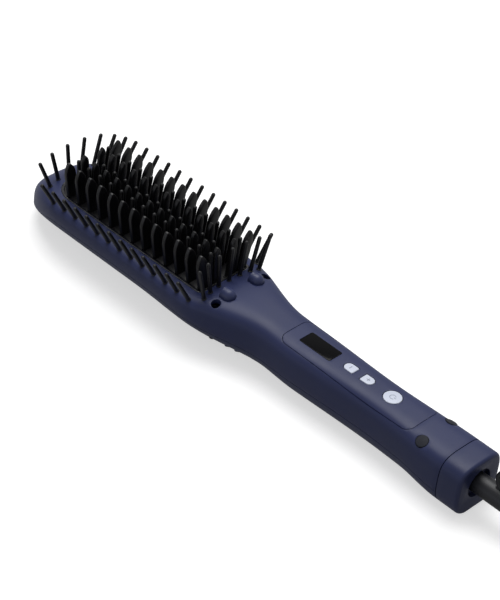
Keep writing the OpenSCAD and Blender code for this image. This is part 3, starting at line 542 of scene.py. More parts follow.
def arc(x, y, r, a0, a1, steps):
    return [(x + r * cos_of(a), y + r * sin_of(a)) for a in spread(a0, a1, steps)]


def slab_outline(x0, x1, hw, r0, r1, steps=10):
    """Outline of a rounded rectangle about the X axis, with its own corner radius at each end."""
    def grown(g):
        a, b, w, ra, rb = x0 - g, x1 + g, hw + g, max(0.05, r0 + g), max(0.05, r1 + g)
        return (arc(b - rb, w - rb, rb, 0, 90, steps) + arc(a + ra, w - ra, ra, 90, 180, steps)
                + arc(a + ra, ra - w, ra, 180, 270, steps) + arc(b - rb, rb - w, rb, 270, 360, steps))
    return grown


def round_outline(x, y, r, steps=48):
    def grown(g):
        return arc(x, y, r + g, 0, 360 - 360 / steps, steps - 1)
    return grown


def stack(name, outline, levels, material, sharp=32):
    """A solid whose outline grows or shrinks from level to level: each level is (growth, height)."""
    rings = [[(x, y, z) for x, y in outline(g)] for g, z in levels]
    return piece(name, *lofted(rings), material, sharp)


def eased_levels(low, top, chamfer):
    """Levels of a pad with a rounded upper edge."""
    rounds = [(-chamfer * (1 - cos_of(a)), top - chamfer * (1 - sin_of(a))) for a in spread(0, 90, 4)]
    return [(0.0, low)] + rounds


def lathe(name, profile, place, turn, material, steps=48, sharp=32):
    """A turned form: profile points are (radius, height) along its own axis, which turn lays down."""
    angles = [2 * math.pi * k / steps for k in range(steps)]
    spokes = [(max(r, POLE_R), h) for r, h in profile]
    rings = [[turn @ Vector((r * math.cos(a), r * math.sin(a), h)) + Vector(place) for a in angles]
             for r, h in spokes]
    return piece(name, *lofted(rings), material, sharp)


ALONG_X = Matrix.Rotation(math.radians(90), 3, "Y")
ALONG_Y = Matrix.Rotation(math.radians(-90), 3, "X")
ALONG_Z = Matrix.Identity(3)


def disc_cutter(place, turn, r, low, high, steps=48):
    return lathe("cutter", [(r, low), (r, high)], place, turn, NAVY, steps)


def block(name, x0, x1, y0, y1, z0, z1, material):
    corners = [[(x, y0, z0), (x, y1, z0), (x, y1, z1), (x, y0, z1)] for x in (x0, x1)]
    return piece(name, *lofted(corners), material)


def done(obj, body, slot, *nodes):
    """Puts a finished piece on its body, in place of its nodes. The slot argument is not used."""
    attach(obj, body)
    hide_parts(*nodes)
    return obj


# ---- Places of the fittings, as in the part's source
PLATE_FROM_D = 24
FIRST_ROW_D = PLATE_FROM_D + 9.6
TOOTH_ROWS = 13
ROW_PITCH = 7.7
PLATE_TO_D = FIRST_ROW_D + (TOOTH_ROWS - 1) * ROW_PITCH + 1.6
PLATE_HW = 15.4
PLATE_NOSE_R = 11
PLATE_TAIL_R = 1.5
PLATE_TOP = HEAD_H - 0.4
PLATE_Z = PLATE_TOP - 2.3
RIM_W = 1.5
RIM_TOP = PLATE_TOP + 0.3
SIDE_PINS = 13
SIDE_Y = 22.5
FIRST_PIN_D = 31.3
PIN_PITCH = 7.96
PIN_LEAN = 31.6
PIN_LEN = 17
PIN_R = 1.0
END_PINS = 7
END_ROW_D = FIRST_PIN_D + (SIDE_PINS - 1) * PIN_PITCH + 3.8
NOZZLE_D = 139.8
NOZZLE_Y = 9.4
HOOD_R = 3.5
NECK_SCREW = (138.9, 16.6)
NECK_FLOOR = CROWN_H - 10.6
WELL_R = 2.4
PLUG_D = 262.8
PLUG_Y = 10.1
PLUG_R = 3
PLUG_LEAN = 29
PLUG_T = 1.8
PANEL_FROM = at(174.3)
PANEL_LEN = 81
PANEL_HW = 10.3
PANEL_R = 4
WINDOW_X = at(181.4)
WINDOW_LEN = 19.3
WINDOW_HW = 4.6
MINUS_X = at(209.9)
PLUS_X = at(220.9)
POWER_X = at(235.9)
POWER_D = 9
KEY_LEN = 6.5
KEY_W = 5.4
KEY_TOP = BODY_H + 0.1
TRIGGER_FROM_D = 139
TRIGGER_TO_D = 160
TRIGGER_HW = 11.6
RIDGE_D = (145.7, 151)
RIDGE_HW = 0.95
RIDGE_H = 0.8
RIDGE_ROOT = 1.4
MOUTH_D = 238
TANK_Z = 9.5
FILLER_R = 3.5
SWIVEL_Z = 15.5
JOURNAL_R = 5.2
PLATE_OUTLINE = slab_outline(at(PLATE_FROM_D), at(PLATE_TO_D), PLATE_HW, PLATE_NOSE_R, PLATE_TAIL_R)
PANEL_OUTLINE = slab_outline(PANEL_FROM, PANEL_FROM + PANEL_LEN, PANEL_HW, PANEL_R, PANEL_R)
WINDOW_OUTLINE = slab_outline(WINDOW_X, WINDOW_X + WINDOW_LEN, WINDOW_HW, 1, 1)


def lean(across=0.0, along=0.0):
    """Turns upright things outward, then to the tip, in degrees."""
    return Matrix.Rotation(math.radians(-along), 3, "Y") @ Matrix.Rotation(math.radians(-across), 3, "X")


# ---- Casing halves and the end cap
DEGREE_LEN = 0.3  # about how far a degree round the section reaches at the seam
SEAM_TURN = SEAM_GAP / 2 / DEGREE_LEN
SHELL_END_D = CAP_D - SEAM_GAP / 2
CUT_LOW = 16
CUT_TOP = 40
PANEL_GAP = 0.28
HOOD_GAP = 0.22
PLUG_GAP = 0.2
FILLER_GAP = 0.3
TRIGGER_GAP = 0.3
CUP_WALL = 0.6
EDGE_ROUND = 0.18
CAP_CORNER = 1.8
CAP_LAP = 3


def through(outline, growth, low=CUT_LOW):
    """A cutter for a hole of that outline, from inside the casing to above it."""
    return stack("cutter", outline, [(growth, low), (growth, CUT_TOP)], NAVY)


def seam_shade_strip(name, side):
    """A strip of painted shade inside the split line, so that the line reads as a dark groove and not a gap.
    """
    middle = -SPLIT_A if side < 0 else 180 + SPLIT_A
    return band(name, long_pairs(0.7, 1.5, CAP_D - 1), middle - 5, middle + 5, 4, 0.7, 1.5, PAINTED_SHADE_NAVY)


def screw_cup(s):
    """The bore of a neck screw, as a cup that hangs under the deck, coloured dark as painted shade."""
    x, y = at(NECK_SCREW[0]), s * NECK_SCREW[1]
    r = WELL_R + CUP_WALL
    rim = min(deck_z(NECK_SCREW[0] + dx, NECK_SCREW[1] + r) for dx in (-r, r)) - 0.5
    profile = [(0.0, NECK_FLOOR - 0.9), (r, NECK_FLOOR - 0.9), (r, rim), (WELL_R, rim), (WELL_R, NECK_FLOOR),
               (0.0, NECK_FLOOR)]
    return lathe("screw_cup", profile, (x, y, 0), ALONG_Z, PAINTED_SHADE_NAVY)


def plug_place(s):
    return (at(PLUG_D), s * PLUG_Y, deck_z(PLUG_D, PLUG_Y))


def filler_cutter():
    start = half_w(MOUTH_D) - WALL - 6
    return disc_cutter((at(MOUTH_D), start, TANK_Z), ALONG_Y, FILLER_R + FILLER_GAP, 0, 15)


def make_upper_shell():
    shell = band("upper_shell_skin", long_pairs(0, WALL, SHELL_END_D), SEAM_TURN - SPLIT_A,
                 180 + SPLIT_A - SEAM_TURN, 84, 0, WALL, NAVY)
    cutters = [through(PLATE_OUTLINE, RIM_W + FIT_GAP, 10), through(PANEL_OUTLINE, PANEL_GAP),
               filler_cutter()]
    for s in (-1, 1):
        screw, nozzle = (at(NECK_SCREW[0]), s * NECK_SCREW[1], 0), (at(NOZZLE_D), s * NOZZLE_Y, 0)
        cutters += [disc_cutter(screw, ALONG_Z, WELL_R, 15, CUT_TOP),
                    disc_cutter(nozzle, ALONG_Z, HOOD_R + HOOD_GAP, 15, CUT_TOP),
                    disc_cutter(plug_place(s), lean(s * PLUG_LEAN), PLUG_R + PLUG_GAP, -5, 6)]
    carve(shell, joined(*cutters))
    soften(shell, EDGE_ROUND)
    joined(shell, *[screw_cup(s) for s in (-1, 1)])
    return done(shell, "casing", "upper_shell", "upper_shell")


def make_lower_shell():
    shell = band("lower_shell_skin", long_pairs(0, WALL, SHELL_END_D), 180 + SPLIT_A + SEAM_TURN,
                 360 - SPLIT_A - SEAM_TURN, 72, 0, WALL, NAVY_BACK)
    x0, x1, hw = at(TRIGGER_FROM_D) - TRIGGER_GAP, at(TRIGGER_TO_D) + TRIGGER_GAP, TRIGGER_HW + TRIGGER_GAP
    mouth = block("cutter", x0, x1, -hw, hw, -5, 12, NAVY)
    carve(shell, joined(mouth, filler_cutter()))
    soften(shell, EDGE_ROUND)
    joined(shell, seam_shade_strip("backing", -1), seam_shade_strip("backing", 1))
    return done(shell, "casing", "lower_shell", "lower_shell")


def make_end_cap():
    start = CAP_D + SEAM_GAP / 2
    stops = [(CAP_D - CAP_LAP, 1.6), (CAP_D - CAP_LAP, 0.8), (start, 0.8), (start, 0.12), (start + 0.12, 0),
             (CAP_D + 4, 0), (CAP_D + 8, 0)]
    stops += [(BODY_LEN - CAP_CORNER * (1 - sin_of(a)), CAP_CORNER * (1 - cos_of(a)))
              for a in spread(0, 90, 8)]
    angles = [(k + 0.5) * 360 / 144 for k in range(144)]
    cap = piece("end_cap_skin", *lofted([[skin(d, t, off) for t in angles] for d, off in stops]), NAVY_BACK)
    carve(cap, disc_cutter((END_X, 0, SWIVEL_Z), ALONG_X, JOURNAL_R + 2.2, -2.6, 3, 64))
    carve(cap, disc_cutter((END_X, 0, SWIVEL_Z), ALONG_X, JOURNAL_R + 0.05, -20, 3, 64))
    soften(cap, 0.25)
    return done(cap, "casing", "end_cap", "end_cap")


make_upper_shell()
make_lower_shell()
make_end_cap()


# ---- Geometry node trees for what repeats
def node_tree(name, inputs):
    tree = bpy.data.node_groups.new(name, "GeometryNodeTree")
    tree.interface.new_socket("Geometry", in_out="INPUT", socket_type="NodeSocketGeometry")
    for label, kind in inputs:
        tree.interface.new_socket(label, in_out="INPUT", socket_type=kind)
    tree.interface.new_socket("Geometry", in_out="OUTPUT", socket_type="NodeSocketGeometry")
    return tree, tree.nodes.new("NodeGroupInput"), tree.nodes.new("NodeGroupOutput")


def close_tree(tree, ins, outs, geometry):
    real = tree.nodes.new("GeometryNodeRealizeInstances")
    paint = tree.nodes.new("GeometryNodeSetMaterial")
    tree.links.new(geometry, real.inputs["Geometry"])
    tree.links.new(real.outputs["Geometry"], paint.inputs["Geometry"])
    tree.links.new(ins.outputs["Finish"], paint.inputs["Material"])
    tree.links.new(paint.outputs["Geometry"], outs.inputs["Geometry"])


def object_mesh(tree, socket):
    info = tree.nodes.new("GeometryNodeObjectInfo")
    tree.links.new(socket, info.inputs["Object"])
    return info.outputs["Geometry"]


def make_row_tree():
    """Copies a form along X, a fixed pitch apart."""
    inputs = [("Form", "NodeSocketObject"), ("Count", "NodeSocketInt"), ("Pitch", "NodeSocketFloat"),
              ("Finish", "NodeSocketMaterial")]
    tree, ins, outs = node_tree("copies in a row", inputs)
    line = tree.nodes.new("GeometryNodeMeshLine")
    step = tree.nodes.new("ShaderNodeCombineXYZ")
    copies = tree.nodes.new("GeometryNodeInstanceOnPoints")
    tree.links.new(ins.outputs["Pitch"], step.inputs["X"])
    tree.links.new(step.outputs["Vector"], line.inputs["Offset"])
    tree.links.new(ins.outputs["Count"], line.inputs["Count"])
    tree.links.new(line.outputs["Mesh"], copies.inputs["Points"])
    tree.links.new(object_mesh(tree, ins.outputs["Form"]), copies.inputs["Instance"])
    close_tree(tree, ins, outs, copies.outputs["Instances"])
    return tree


def point_attribute(tree, name, kind):
    node = tree.nodes.new("GeometryNodeInputNamedAttribute")
    node.data_type = kind
    node.inputs["Name"].default_value = name
    return node.outputs["Attribute"]


def make_pin_tree():
    """Stands a form on each point, along the point's own direction and drawn out to its own length."""
    inputs = [("Form", "NodeSocketObject"), ("Finish", "NodeSocketMaterial")]
    tree, ins, outs = node_tree("pins on points", inputs)
    way = point_attribute(tree, "way", "FLOAT_VECTOR")
    length = point_attribute(tree, "stretch", "FLOAT")
    turn = tree.nodes.new("FunctionNodeAlignRotationToVector")
    turn.axis = "Z"
    size = tree.nodes.new("ShaderNodeCombineXYZ")
    size.inputs["X"].default_value = 1
    size.inputs["Y"].default_value = 1
    copies = tree.nodes.new("GeometryNodeInstanceOnPoints")
    tree.links.new(way, turn.inputs["Vector"])
    tree.links.new(length, size.inputs["Z"])
    tree.links.new(ins.outputs["Geometry"], copies.inputs["Points"])
    tree.links.new(object_mesh(tree, ins.outputs["Form"]), copies.inputs["Instance"])
    tree.links.new(turn.outputs["Rotation"], copies.inputs["Rotation"])
    tree.links.new(size.outputs["Vector"], copies.inputs["Scale"])
    close_tree(tree, ins, outs, copies.outputs["Instances"])
    return tree


ROW_TREE = make_row_tree()
PIN_TREE = make_pin_tree()


def grow(obj, tree, form, **values):
    """Runs a tree on obj with the named inputs, keeps the plain result and removes the form."""
    modifier = obj.modifiers.new(tree.name, "NODES")
    modifier.node_group = tree
    values["Form"] = form
    for item in tree.interface.items_tree:
        if item.in_out == "INPUT" and item.name in values:
            modifier[item.identifier] = values[item.name]
    settle(obj)
    bpy.data.objects.remove(form)
    return crisp(obj, 40)


def row_of(name, form, count, pitch, material):
    seed = piece(name, [(0, 0, 0), (1, 0, 0), (0, 1, 0)], [(0, 1, 2)], material)
    return grow(seed, ROW_TREE, form, Count=count, Pitch=pitch * MM, Finish=material)


# ---- Comb: the plate, its rim and its teeth
TOOTH_TOP = 48.6
TOOTH_ROOT = PLATE_TOP - 1.2
BLADE_W = 6.2
BLADE_T = 2
BLADE_EDGE = 0.45
TOOTH_D = 2
# [how far out at the root, lean, width of the blade or 0 for a round tooth, how much shorter]
TOOTH_PLAN = [(PLATE_HW - BLADE_W / 2 - 0.3, 11.3, BLADE_W, 0), (7.7, 6, 0, 1.2), (4.6, 3, 4.2, 0)]
CENTRE_SHORT = 3.4


def arch_outline(w, h, inset):
    """Outline of a blade with a pointed-arch tip, from one foot round to the other, set in by inset."""
    arch_r = 1.7 * w
    rise = math.sqrt(arch_r ** 2 - (arch_r - w / 2) ** 2)
    r = arch_r - inset
    top = math.degrees(math.acos((arch_r - w / 2) / r)) - 3
    right = arc(w / 2 - arch_r, h - rise, r, 0, top, 9)
    left = [(-y, z) for y, z in reversed(right)]
    return [(w / 2 - inset, 0)] + right + left + [(inset - w / 2, 0)]


def blade_form(w, h, turn, place):
    """A flat blade with rounded edges, its flanks facing along X."""
    rings = []
    for a in spread(0, 90, 3):
        x = BLADE_T / 2 - BLADE_EDGE * (1 - cos_of(a))
        rings.append([(x, y, z) for y, z in arch_outline(w, h, BLADE_EDGE * (1 - sin_of(a)))])
    rings += [[(-x, y, z) for x, y, z in ring] for ring in reversed(rings)]
    rings = [[turn @ Vector(p) + Vector(place) for p in ring] for ring in rings]
    return piece("form", *lofted(rings), COMB_BLACK, 50)


def round_form(h, turn, place):
    r = TOOTH_D / 2
    dome = arc(0, h - r, r, 0, 90, 6)
    return lathe("form", [(r * 1.12, 0)] + [(r * 1.02, h / 3)] + dome, place, turn, COMB_BLACK, 20)


def make_comb():
    top = [(0, PLATE_Z), (0, PLATE_TOP - 0.4), (-0.12, PLATE_TOP - 0.1), (-0.4, PLATE_TOP)]
    comb = stack("comb", PLATE_OUTLINE, top, COMB_BLACK)
    rows = []
    for side in (-1, 1):
        for y, angle, w, short in TOOTH_PLAN:
            h = (TOOTH_TOP - short - TOOTH_ROOT) / math.cos(math.radians(angle))
            turn, place = lean(side * angle), (at(FIRST_ROW_D), side * y, TOOTH_ROOT)
            form = blade_form(w, h, turn, place) if w else round_form(h, turn, place)
            rows.append(row_of("row", form, TOOTH_ROWS, ROW_PITCH, COMB_BLACK))
    place = (at(FIRST_ROW_D + ROW_PITCH), 0, TOOTH_ROOT)
    middle = round_form(TOOTH_TOP - CENTRE_SHORT - TOOTH_ROOT, ALONG_Z, place)
    rows.append(row_of("row", middle, TOOTH_ROWS - 2, ROW_PITCH, COMB_BLACK))
    joined(comb, *rows)
    crisp(comb, 40)
    return done(comb, "casing", "comb_plate", "comb_plate")


def make_rim():
    bulge = [(0.1, PLATE_Z), (0.1, RIM_TOP - 0.35), (0.25, RIM_TOP - 0.08), (0.55, RIM_TOP), (1.0, RIM_TOP),
             (1.32, RIM_TOP - 0.1), (RIM_W, RIM_TOP - 0.4), (RIM_W, PLATE_Z)]
    rings = [[(x, y, z) for x, y in PLATE_OUTLINE(g)] for g, z in bulge]
    return done(piece("comb_rim", *looped(rings), RIM_BLACK, 60), "casing", "plate_rim", "plate_rim")


make_comb()
make_rim()


# ---- Guard pins
ARC_DEPTH = 13
ARC_POWER = 0.6
ARC_FROM = 12
ARC_STEP = 20.2
TIP_LEAN = 7
END_ROW_Y = 18.2
END_LEAN = 16
END_BOW = 2
END_SWEEP = 54
END_LONGER = 2.5


def pin_list():
    """Each pin: distance from the tip, sideways place, lean outward, lean to the tip, length."""
    pins = [(FIRST_PIN_D + i * PIN_PITCH, s * SIDE_Y, s * PIN_LEAN, 0, PIN_LEN) for s in (-1, 1)
            for i in range(SIDE_PINS)]
    for i in range(END_PINS):
        c, s = cos_of(ARC_FROM + i * ARC_STEP), sin_of(ARC_FROM + i * ARC_STEP)
        pins.append((FIRST_PIN_D - ARC_DEPTH * s ** ARC_POWER, SIDE_Y * c, PIN_LEAN * c, TIP_LEAN, PIN_LEN))
    for i in range(END_PINS):
        u = sin_of(END_SWEEP * (2 * i / (END_PINS - 1) - 1)) / sin_of(END_SWEEP)
        pins.append((END_ROW_D + END_BOW * u * u, END_ROW_Y * u, END_LEAN * u, 0, PIN_LEN + END_LONGER))
    return pins


def make_pins():
    pins = pin_list()
    seed = piece("guard_pin_set", [(at(p[0]), p[1], deck_z(p[0], p[1])) for p in pins], [], PIN_BLACK)
    seed.data.attributes.new("way", "FLOAT_VECTOR", "POINT")
    seed.data.attributes.new("stretch", "FLOAT", "POINT")
    for i, (_, _, across, along, length) in enumerate(pins):
        seed.data.attributes["way"].data[i].vector = lean(across, along) @ Vector((0, 0, 1))
        seed.data.attributes["stretch"].data[i].value = length / PIN_LEN
    tip = arc(0, PIN_LEN - PIN_R, PIN_R, 0, 90, 6)
    collar = [(0.0, -3), (1.25, -3), (1.25, 0.25), (1.15, 0.42), (1.0, 0.5), (PIN_R + 0.04, 0.9)]
    form = lathe("form", collar + tip, (0, 0, 0), ALONG_Z, PIN_BLACK, 20)
    grow(seed, PIN_TREE, form, Finish=PIN_BLACK)
    return done(seed, "casing", "guard_pins", "guard_pins")


make_pins()


# ---- Steam nozzles: two hoods whose mouths face the comb
HOOD_WALL = 0.75
HOOD_MOUTH = 0.6 - HOOD_R
HOOD_RISE = 1.05
HOOD_LEAST = 0.0006
THROAT_TURN = Matrix.Rotation(math.radians(-60), 3, "Y")


def hood(s):
    """A hood from its closed back to the mouth, then back along its inner wall."""
    x0, y0, base = at(NOZZLE_D), s * NOZZLE_Y, deck_z(NOZZLE_D, NOZZLE_Y)
    inner = HOOD_R - HOOD_WALL
    front = (HOOD_MOUTH, HOOD_MOUTH + 0.15, -1.2, 0, 0.7, 1.4, 2.1)

    def arch(x, r, sink):
        """A half-round section at x, closed below the deck."""
        r *= math.sqrt(max(HOOD_LEAST, 1 - (max(0, x) / r) ** 2))
        up = [(x0 + x, y0 + r * cos_of(a), base + HOOD_RISE * r * sin_of(a)) for a in spread(0, 180, 24)]
        return [(x0 + x, up[0][1], base - sink)] + up + [(x0 + x, up[-1][1], base - sink)]

    rings = [arch(x, HOOD_R, 0.9) for x in (HOOD_R - 0.01, 3.35, 3.1, 2.7) + front[::-1]]
    rings += [arch(x, inner, 0.4) for x in front + (2.5, inner - 0.05)]
    return piece("hood", *lofted(rings), NAVY_TRIM, 40)


def make_nozzles():
    parts = []
    for s in (-1, 1):
        parts.append(hood(s))
        base = deck_z(NOZZLE_D, NOZZLE_Y)
        outline = round_outline(at(NOZZLE_D), s * NOZZLE_Y, HOOD_R)
        # The foot and the throat are painted shade: dark navy in the gap round each hood and inside its
        # mouth.
        levels = [(-0.05, base - 1.6), (-0.05, base - 0.5), (-0.2, base - 0.35)]
        parts.append(stack("foot", outline, levels, PAINTED_SHADE_NAVY))
        throat = [(0.55, -0.2), (1.3, -0.2), (1.3, 1.0), (1.1, 1.2), (0.7, 1.2), (0.55, 1.0)]
        place = (at(NOZZLE_D) - 0.4, s * NOZZLE_Y, base + 0.1)
        parts.append(lathe("throat", throat, place, THROAT_TURN, PAINTED_SHADE_NAVY, 24))
    nozzles = joined(*parts)
    nozzles.name = "steam_hoods"
    crisp(nozzles, 40)
    return done(nozzles, "casing", "steam_nozzles", "steam_nozzles")


make_nozzles()


# ---- Control panel, display and keys
KEY_GAP = 0.3
KEY_CORNER = 0.7
KEY_DEPTH = 5
LENS_GAP = 0.08
MARK_UP = 0.05
MARK_SUNK = 0.2
MARK_HW = 0.2
POWER_MARK_R = (1.25, 1.6)


def key_outline(x, flip):
    """A key that is round at one end and square at the other."""
    r, turn, corner = KEY_W / 2, (-1 if flip else 1), KEY_CORNER

    def grown(g):
        flat = KEY_LEN / 2 + g
        round_end = arc(KEY_W / 2 - KEY_LEN / 2, 0, r + g, 90, 270, 24)
        low = arc(flat - corner, corner - r - g, corner, 270, 360, 5)
        high = arc(flat - corner, r + g - corner, corner, 0, 90, 5)
        return [(x + turn * px, py) for px, py in round_end + low + high]
    return grown


MINUS_OUTLINE = key_outline(MINUS_X, False)
PLUS_OUTLINE = key_outline(PLUS_X, True)


def make_panel():
    d0 = PANEL_FROM - TIP_X
    pairs = [(d0 - 1, d0 - 1)] + run_pairs(d0 - 1, d0 + PANEL_LEN + 1, 1.6)
    panel = band("panel_skin", pairs, 15, 165, 80, 0.02, 2, NAVY)
    carve(panel, through(PANEL_OUTLINE, 0), "INTERSECT")
    power_hole = disc_cutter((POWER_X, 0, 0), ALONG_Z, POWER_D / 2 + KEY_GAP, CUT_LOW, CUT_TOP, 64)
    carve(panel, joined(through(MINUS_OUTLINE, KEY_GAP), through(PLUS_OUTLINE, KEY_GAP), power_hole,
                        through(WINDOW_OUTLINE, LENS_GAP)))
    soften(panel, 0.16)
    return done(panel, "casing", "control_panel", "control_panel")


def make_window():
    lens = stack("display_lens", WINDOW_OUTLINE, eased_levels(BODY_H - 1.8, BODY_H - 0.05, 0.25), LENS_BLACK)
    return done(lens, "casing", "display_window", "display_window")


def bar(x, half_x, half_y):
    levels = [(0, KEY_TOP - MARK_SUNK), (0, KEY_TOP + 0.03), (-0.04, KEY_TOP + MARK_UP)]
    return stack("mark", slab_outline(x - half_x, x + half_x, half_y, 0.2, 0.2, 4), levels, MARK_GREY)


def key(name, outline, marks, slot, node):
    button = stack(name, outline, eased_levels(KEY_TOP - KEY_DEPTH, KEY_TOP, 0.45), KEY_GREY)
    joined(button, *marks)
    return done(button, slot, node, node)


def power_mark():
    r_in, r_out = POWER_MARK_R
    low, high = KEY_TOP - MARK_SUNK, KEY_TOP + MARK_UP
    section = ((r_in, low), (r_in, high), (r_out, high), (r_out, low))
    rings = [[(POWER_X + r * cos_of(a), r * sin_of(a), z) for r, z in section] for a in spread(40, 320, 40)]
    return piece("mark", *lofted(rings), MARK_GREY)


def make_keys():
    key("minus_key", MINUS_OUTLINE, [bar(MINUS_X, MARK_HW, 1.1)], "minus", "minus_button")
    plus_marks = [bar(PLUS_X, MARK_HW, 1.1), bar(PLUS_X, 1.1, MARK_HW)]
    key("plus_key", PLUS_OUTLINE, plus_marks, "plus", "plus_button")
    power_marks = [power_mark(), bar(POWER_X + 1.3, 0.65, MARK_HW)]
    key("power_key", round_outline(POWER_X, 0, POWER_D / 2, 72), power_marks, "power", "power_button")


make_panel()
make_window()
make_keys()


# ---- Screw plugs, steam trigger and filler plug
def make_screw_plugs():
    profile = [(0.0, -PLUG_T), (PLUG_R, -PLUG_T), (PLUG_R, -0.15), (PLUG_R - 0.15, 0), (PLUG_R - 0.5, 0.07),
               (0.0, 0.1)]
    plugs = [lathe("plug", profile, plug_place(s), lean(s * PLUG_LEAN), PLUG_GREY, 48) for s in (-1, 1)]
    both = joined(*plugs)
    both.name = "screw_plug_pair"
    crisp(both)
    return done(both, "casing", "screw_plugs", "screw_plugs")


def make_trigger():
    d0, d1 = TRIGGER_FROM_D, TRIGGER_TO_D
    pairs = [(d0 - 2, d0 - 2)] + run_pairs(d0 - 2, d1 + 2, 1)
    pad = band("trigger_pad", pairs, 198, 342, 90, 0.15, 2.1, NAVY_TRIM)
    carve(pad, block("cutter", at(d0), at(d1), -TRIGGER_HW, TRIGGER_HW, -5, 12, NAVY), "INTERSECT")
    soften(pad, 0.25)
    ridges = []
    angles = spread(226, 314, 60)
    for d in RIDGE_D:
        stops = [(d + RIDGE_HW * cos_of(a), 0.2 - RIDGE_H * sin_of(a)) for a in spread(180, 0, 6)]
        rings = [[skin(x, t, off) for t in angles] + [skin(x, t, RIDGE_ROOT) for t in reversed(angles)]
                 for x, off in stops]
        ridges.append(piece("ridge", *lofted(rings), NAVY_TRIM))
    joined(pad, *ridges)
    return done(pad, "trigger", "steam_trigger", "steam_trigger")


def make_filler():
    start = half_w(MOUTH_D) - WALL - 1
    profile = [(0.0, -2.9), (2.1, -2.9), (2.1, 0.1), (FILLER_R, 0.1), (FILLER_R, 2.6), (FILLER_R - 0.1, 2.85),
               (FILLER_R - 0.35, 3.0), (2.3, 3.0), (2.2, 2.9), (2.1, 2.6), (0.9, 2.5), (0.0, 2.5)]
    plug = lathe("filler_cap", profile, (at(MOUTH_D), start, TANK_Z), ALONG_Y, NAVY_TRIM, 56)
    outline = slab_outline(at(MOUTH_D) - 2, at(MOUTH_D) + 2, 0.45, 0.4, 0.4, 5)
    tab = stack("tab", outline, [(0, 0), (0, 0.7), (-0.15, 0.9)], NAVY_TRIM)
    lift = Matrix.Translation((0, (start + 2.1) * MM, TANK_Z * MM))
    tab.data.transform(lift @ Matrix.Rotation(math.radians(-90), 4, "X"))
    joined(plug, tab)
    crisp(plug)
    return done(plug, "filler", "filler_plug", "filler_plug")


make_screw_plugs()
make_trigger()
make_filler()


# ---- Strain relief sleeve with its hanging eye
RELIEF_INSET = 2.2
RELIEF_FROM = END_X - RELIEF_INSET
RELIEF_TO = END_X + RELIEF_LEN
RELIEF_R0 = 5.1
RELIEF_R1 = 4.3
STRAIGHT_LEN = 20
GROOVES = 6
GROOVE_FROM = 22
GROOVE_W = 1.4
LIP = 0.15
EYE_R = 4.6
EYE_WALL = 2.1
EYE_T = 3.2
EYE_ROUND = 0.6
EYE_STEPS = 56
WEB_HW = 5.6
EYE_X = END_X + 15
EYE_Z = SWIVEL_Z + RELIEF_R0 + EYE_R + 0.9
CORD_R = 3.3


def sleeve_profile():
    """Radius against distance from the sleeve's start: a straight neck, then a taper with flexing grooves."""
    length = RELIEF_TO - RELIEF_FROM

    def r_at(x):
        taper = (RELIEF_R1 - RELIEF_R0) * (x - STRAIGHT_LEN) / (length - STRAIGHT_LEN)
        return RELIEF_R0 if x < STRAIGHT_LEN else RELIEF_R0 + taper

    profile = [(CORD_R, 0), (RELIEF_R0, 0), (RELIEF_R0, 8), (RELIEF_R0, STRAIGHT_LEN)]
    step = (RELIEF_LEN + RELIEF_INSET - GROOVE_FROM - 3) / GROOVES
    bottom = RELIEF_R1 - 0.35
    for i in range(GROOVES):
        x = GROOVE_FROM + i * step
        to = x + GROOVE_W
        profile += [(r_at(x), x - LIP), (r_at(x) - LIP, x), (bottom + LIP, x + 0.08), (bottom, x + 0.25),
                    (bottom, to - 0.25), (bottom + LIP, to - 0.08), (r_at(x) - LIP, to), (r_at(x), to + LIP)]
    return profile + [(RELIEF_R1, length - 0.8), (RELIEF_R1 - 0.25, length - 0.25), (RELIEF_R1 - 0.8, length),
                      (CORD_R, length)]


def make_sleeve():
    start = (RELIEF_FROM, 0, SWIVEL_Z)
    sleeve = lathe("relief_sleeve", sleeve_profile(), start, ALONG_X, SLEEVE_BLACK, 56, 45)
    section = [(cx, cy, a) for cx, cy, a0 in ((1, 1, 0), (-1, 1, 90), (-1, -1, 180), (1, -1, 270))
               for a in spread(a0, a0 + 90, 4)]
    rings = []
    for k in range(EYE_STEPS):
        turn = 2 * math.pi * k / EYE_STEPS
        ring = []
        for cx, cy, a in section:
            r = EYE_R + EYE_WALL / 2 + cx * (EYE_WALL / 2 - EYE_ROUND) + EYE_ROUND * cos_of(a)
            y = cy * (EYE_T / 2 - EYE_ROUND) + EYE_ROUND * sin_of(a)
            ring.append((EYE_X + r * math.cos(turn), y, EYE_Z + r * math.sin(turn)))
        rings.append(ring)
    eye = piece("eye", *looped(rings), SLEEVE_BLACK, 60)
    web = block("web", EYE_X - WEB_HW, EYE_X + WEB_HW, -EYE_T / 2, EYE_T / 2, SWIVEL_Z + 2, EYE_Z - EYE_R,
                SLEEVE_BLACK)
    soften(web, 0.5, 3)
    joined(sleeve, eye, web)
    return done(sleeve, "swivel", "strain_relief", "strain_relief")


make_sleeve()


# ---- Cord: down to the surface, a coil of three piled layers, and the plug that lies on it
LAY_Z = CORD_R + 0.6
COIL_PITCH = 2 * CORD_R + 0.6
COIL_TURNS = 2
COIL_LAYERS = 3
COIL_OUT = 43
COIL_IN = COIL_OUT - COIL_TURNS * COIL_PITCH
COIL_X = 260
COIL_Y = 15
COIL_TOP = LAY_Z + (COIL_LAYERS - 1) * COIL_PITCH
COIL_STEPS = 36
CLIMB_STEPS = COIL_STEPS // 2
CLIMB_BULGE = COIL_PITCH / 4
LAYER_STEPS = COIL_TURNS * COIL_STEPS
LAP_STEPS = LAYER_STEPS + CLIMB_STEPS
ALL_STEPS = COIL_LAYERS * LAP_STEPS - CLIMB_STEPS
TAIL_RISE = 7.9
RISE_STEPS = COIL_STEPS // 4
PLUG_HH = 7
PLUG_HW = 13
PLUG_LEN = 38
PLUG_X = 272
PLUG_AT_Y = 41
PLUG_Z = COIL_TOP + CORD_R + 0.3 + PLUG_HH
PIN_APART = 19
PIN_HOLE_R = 2.15


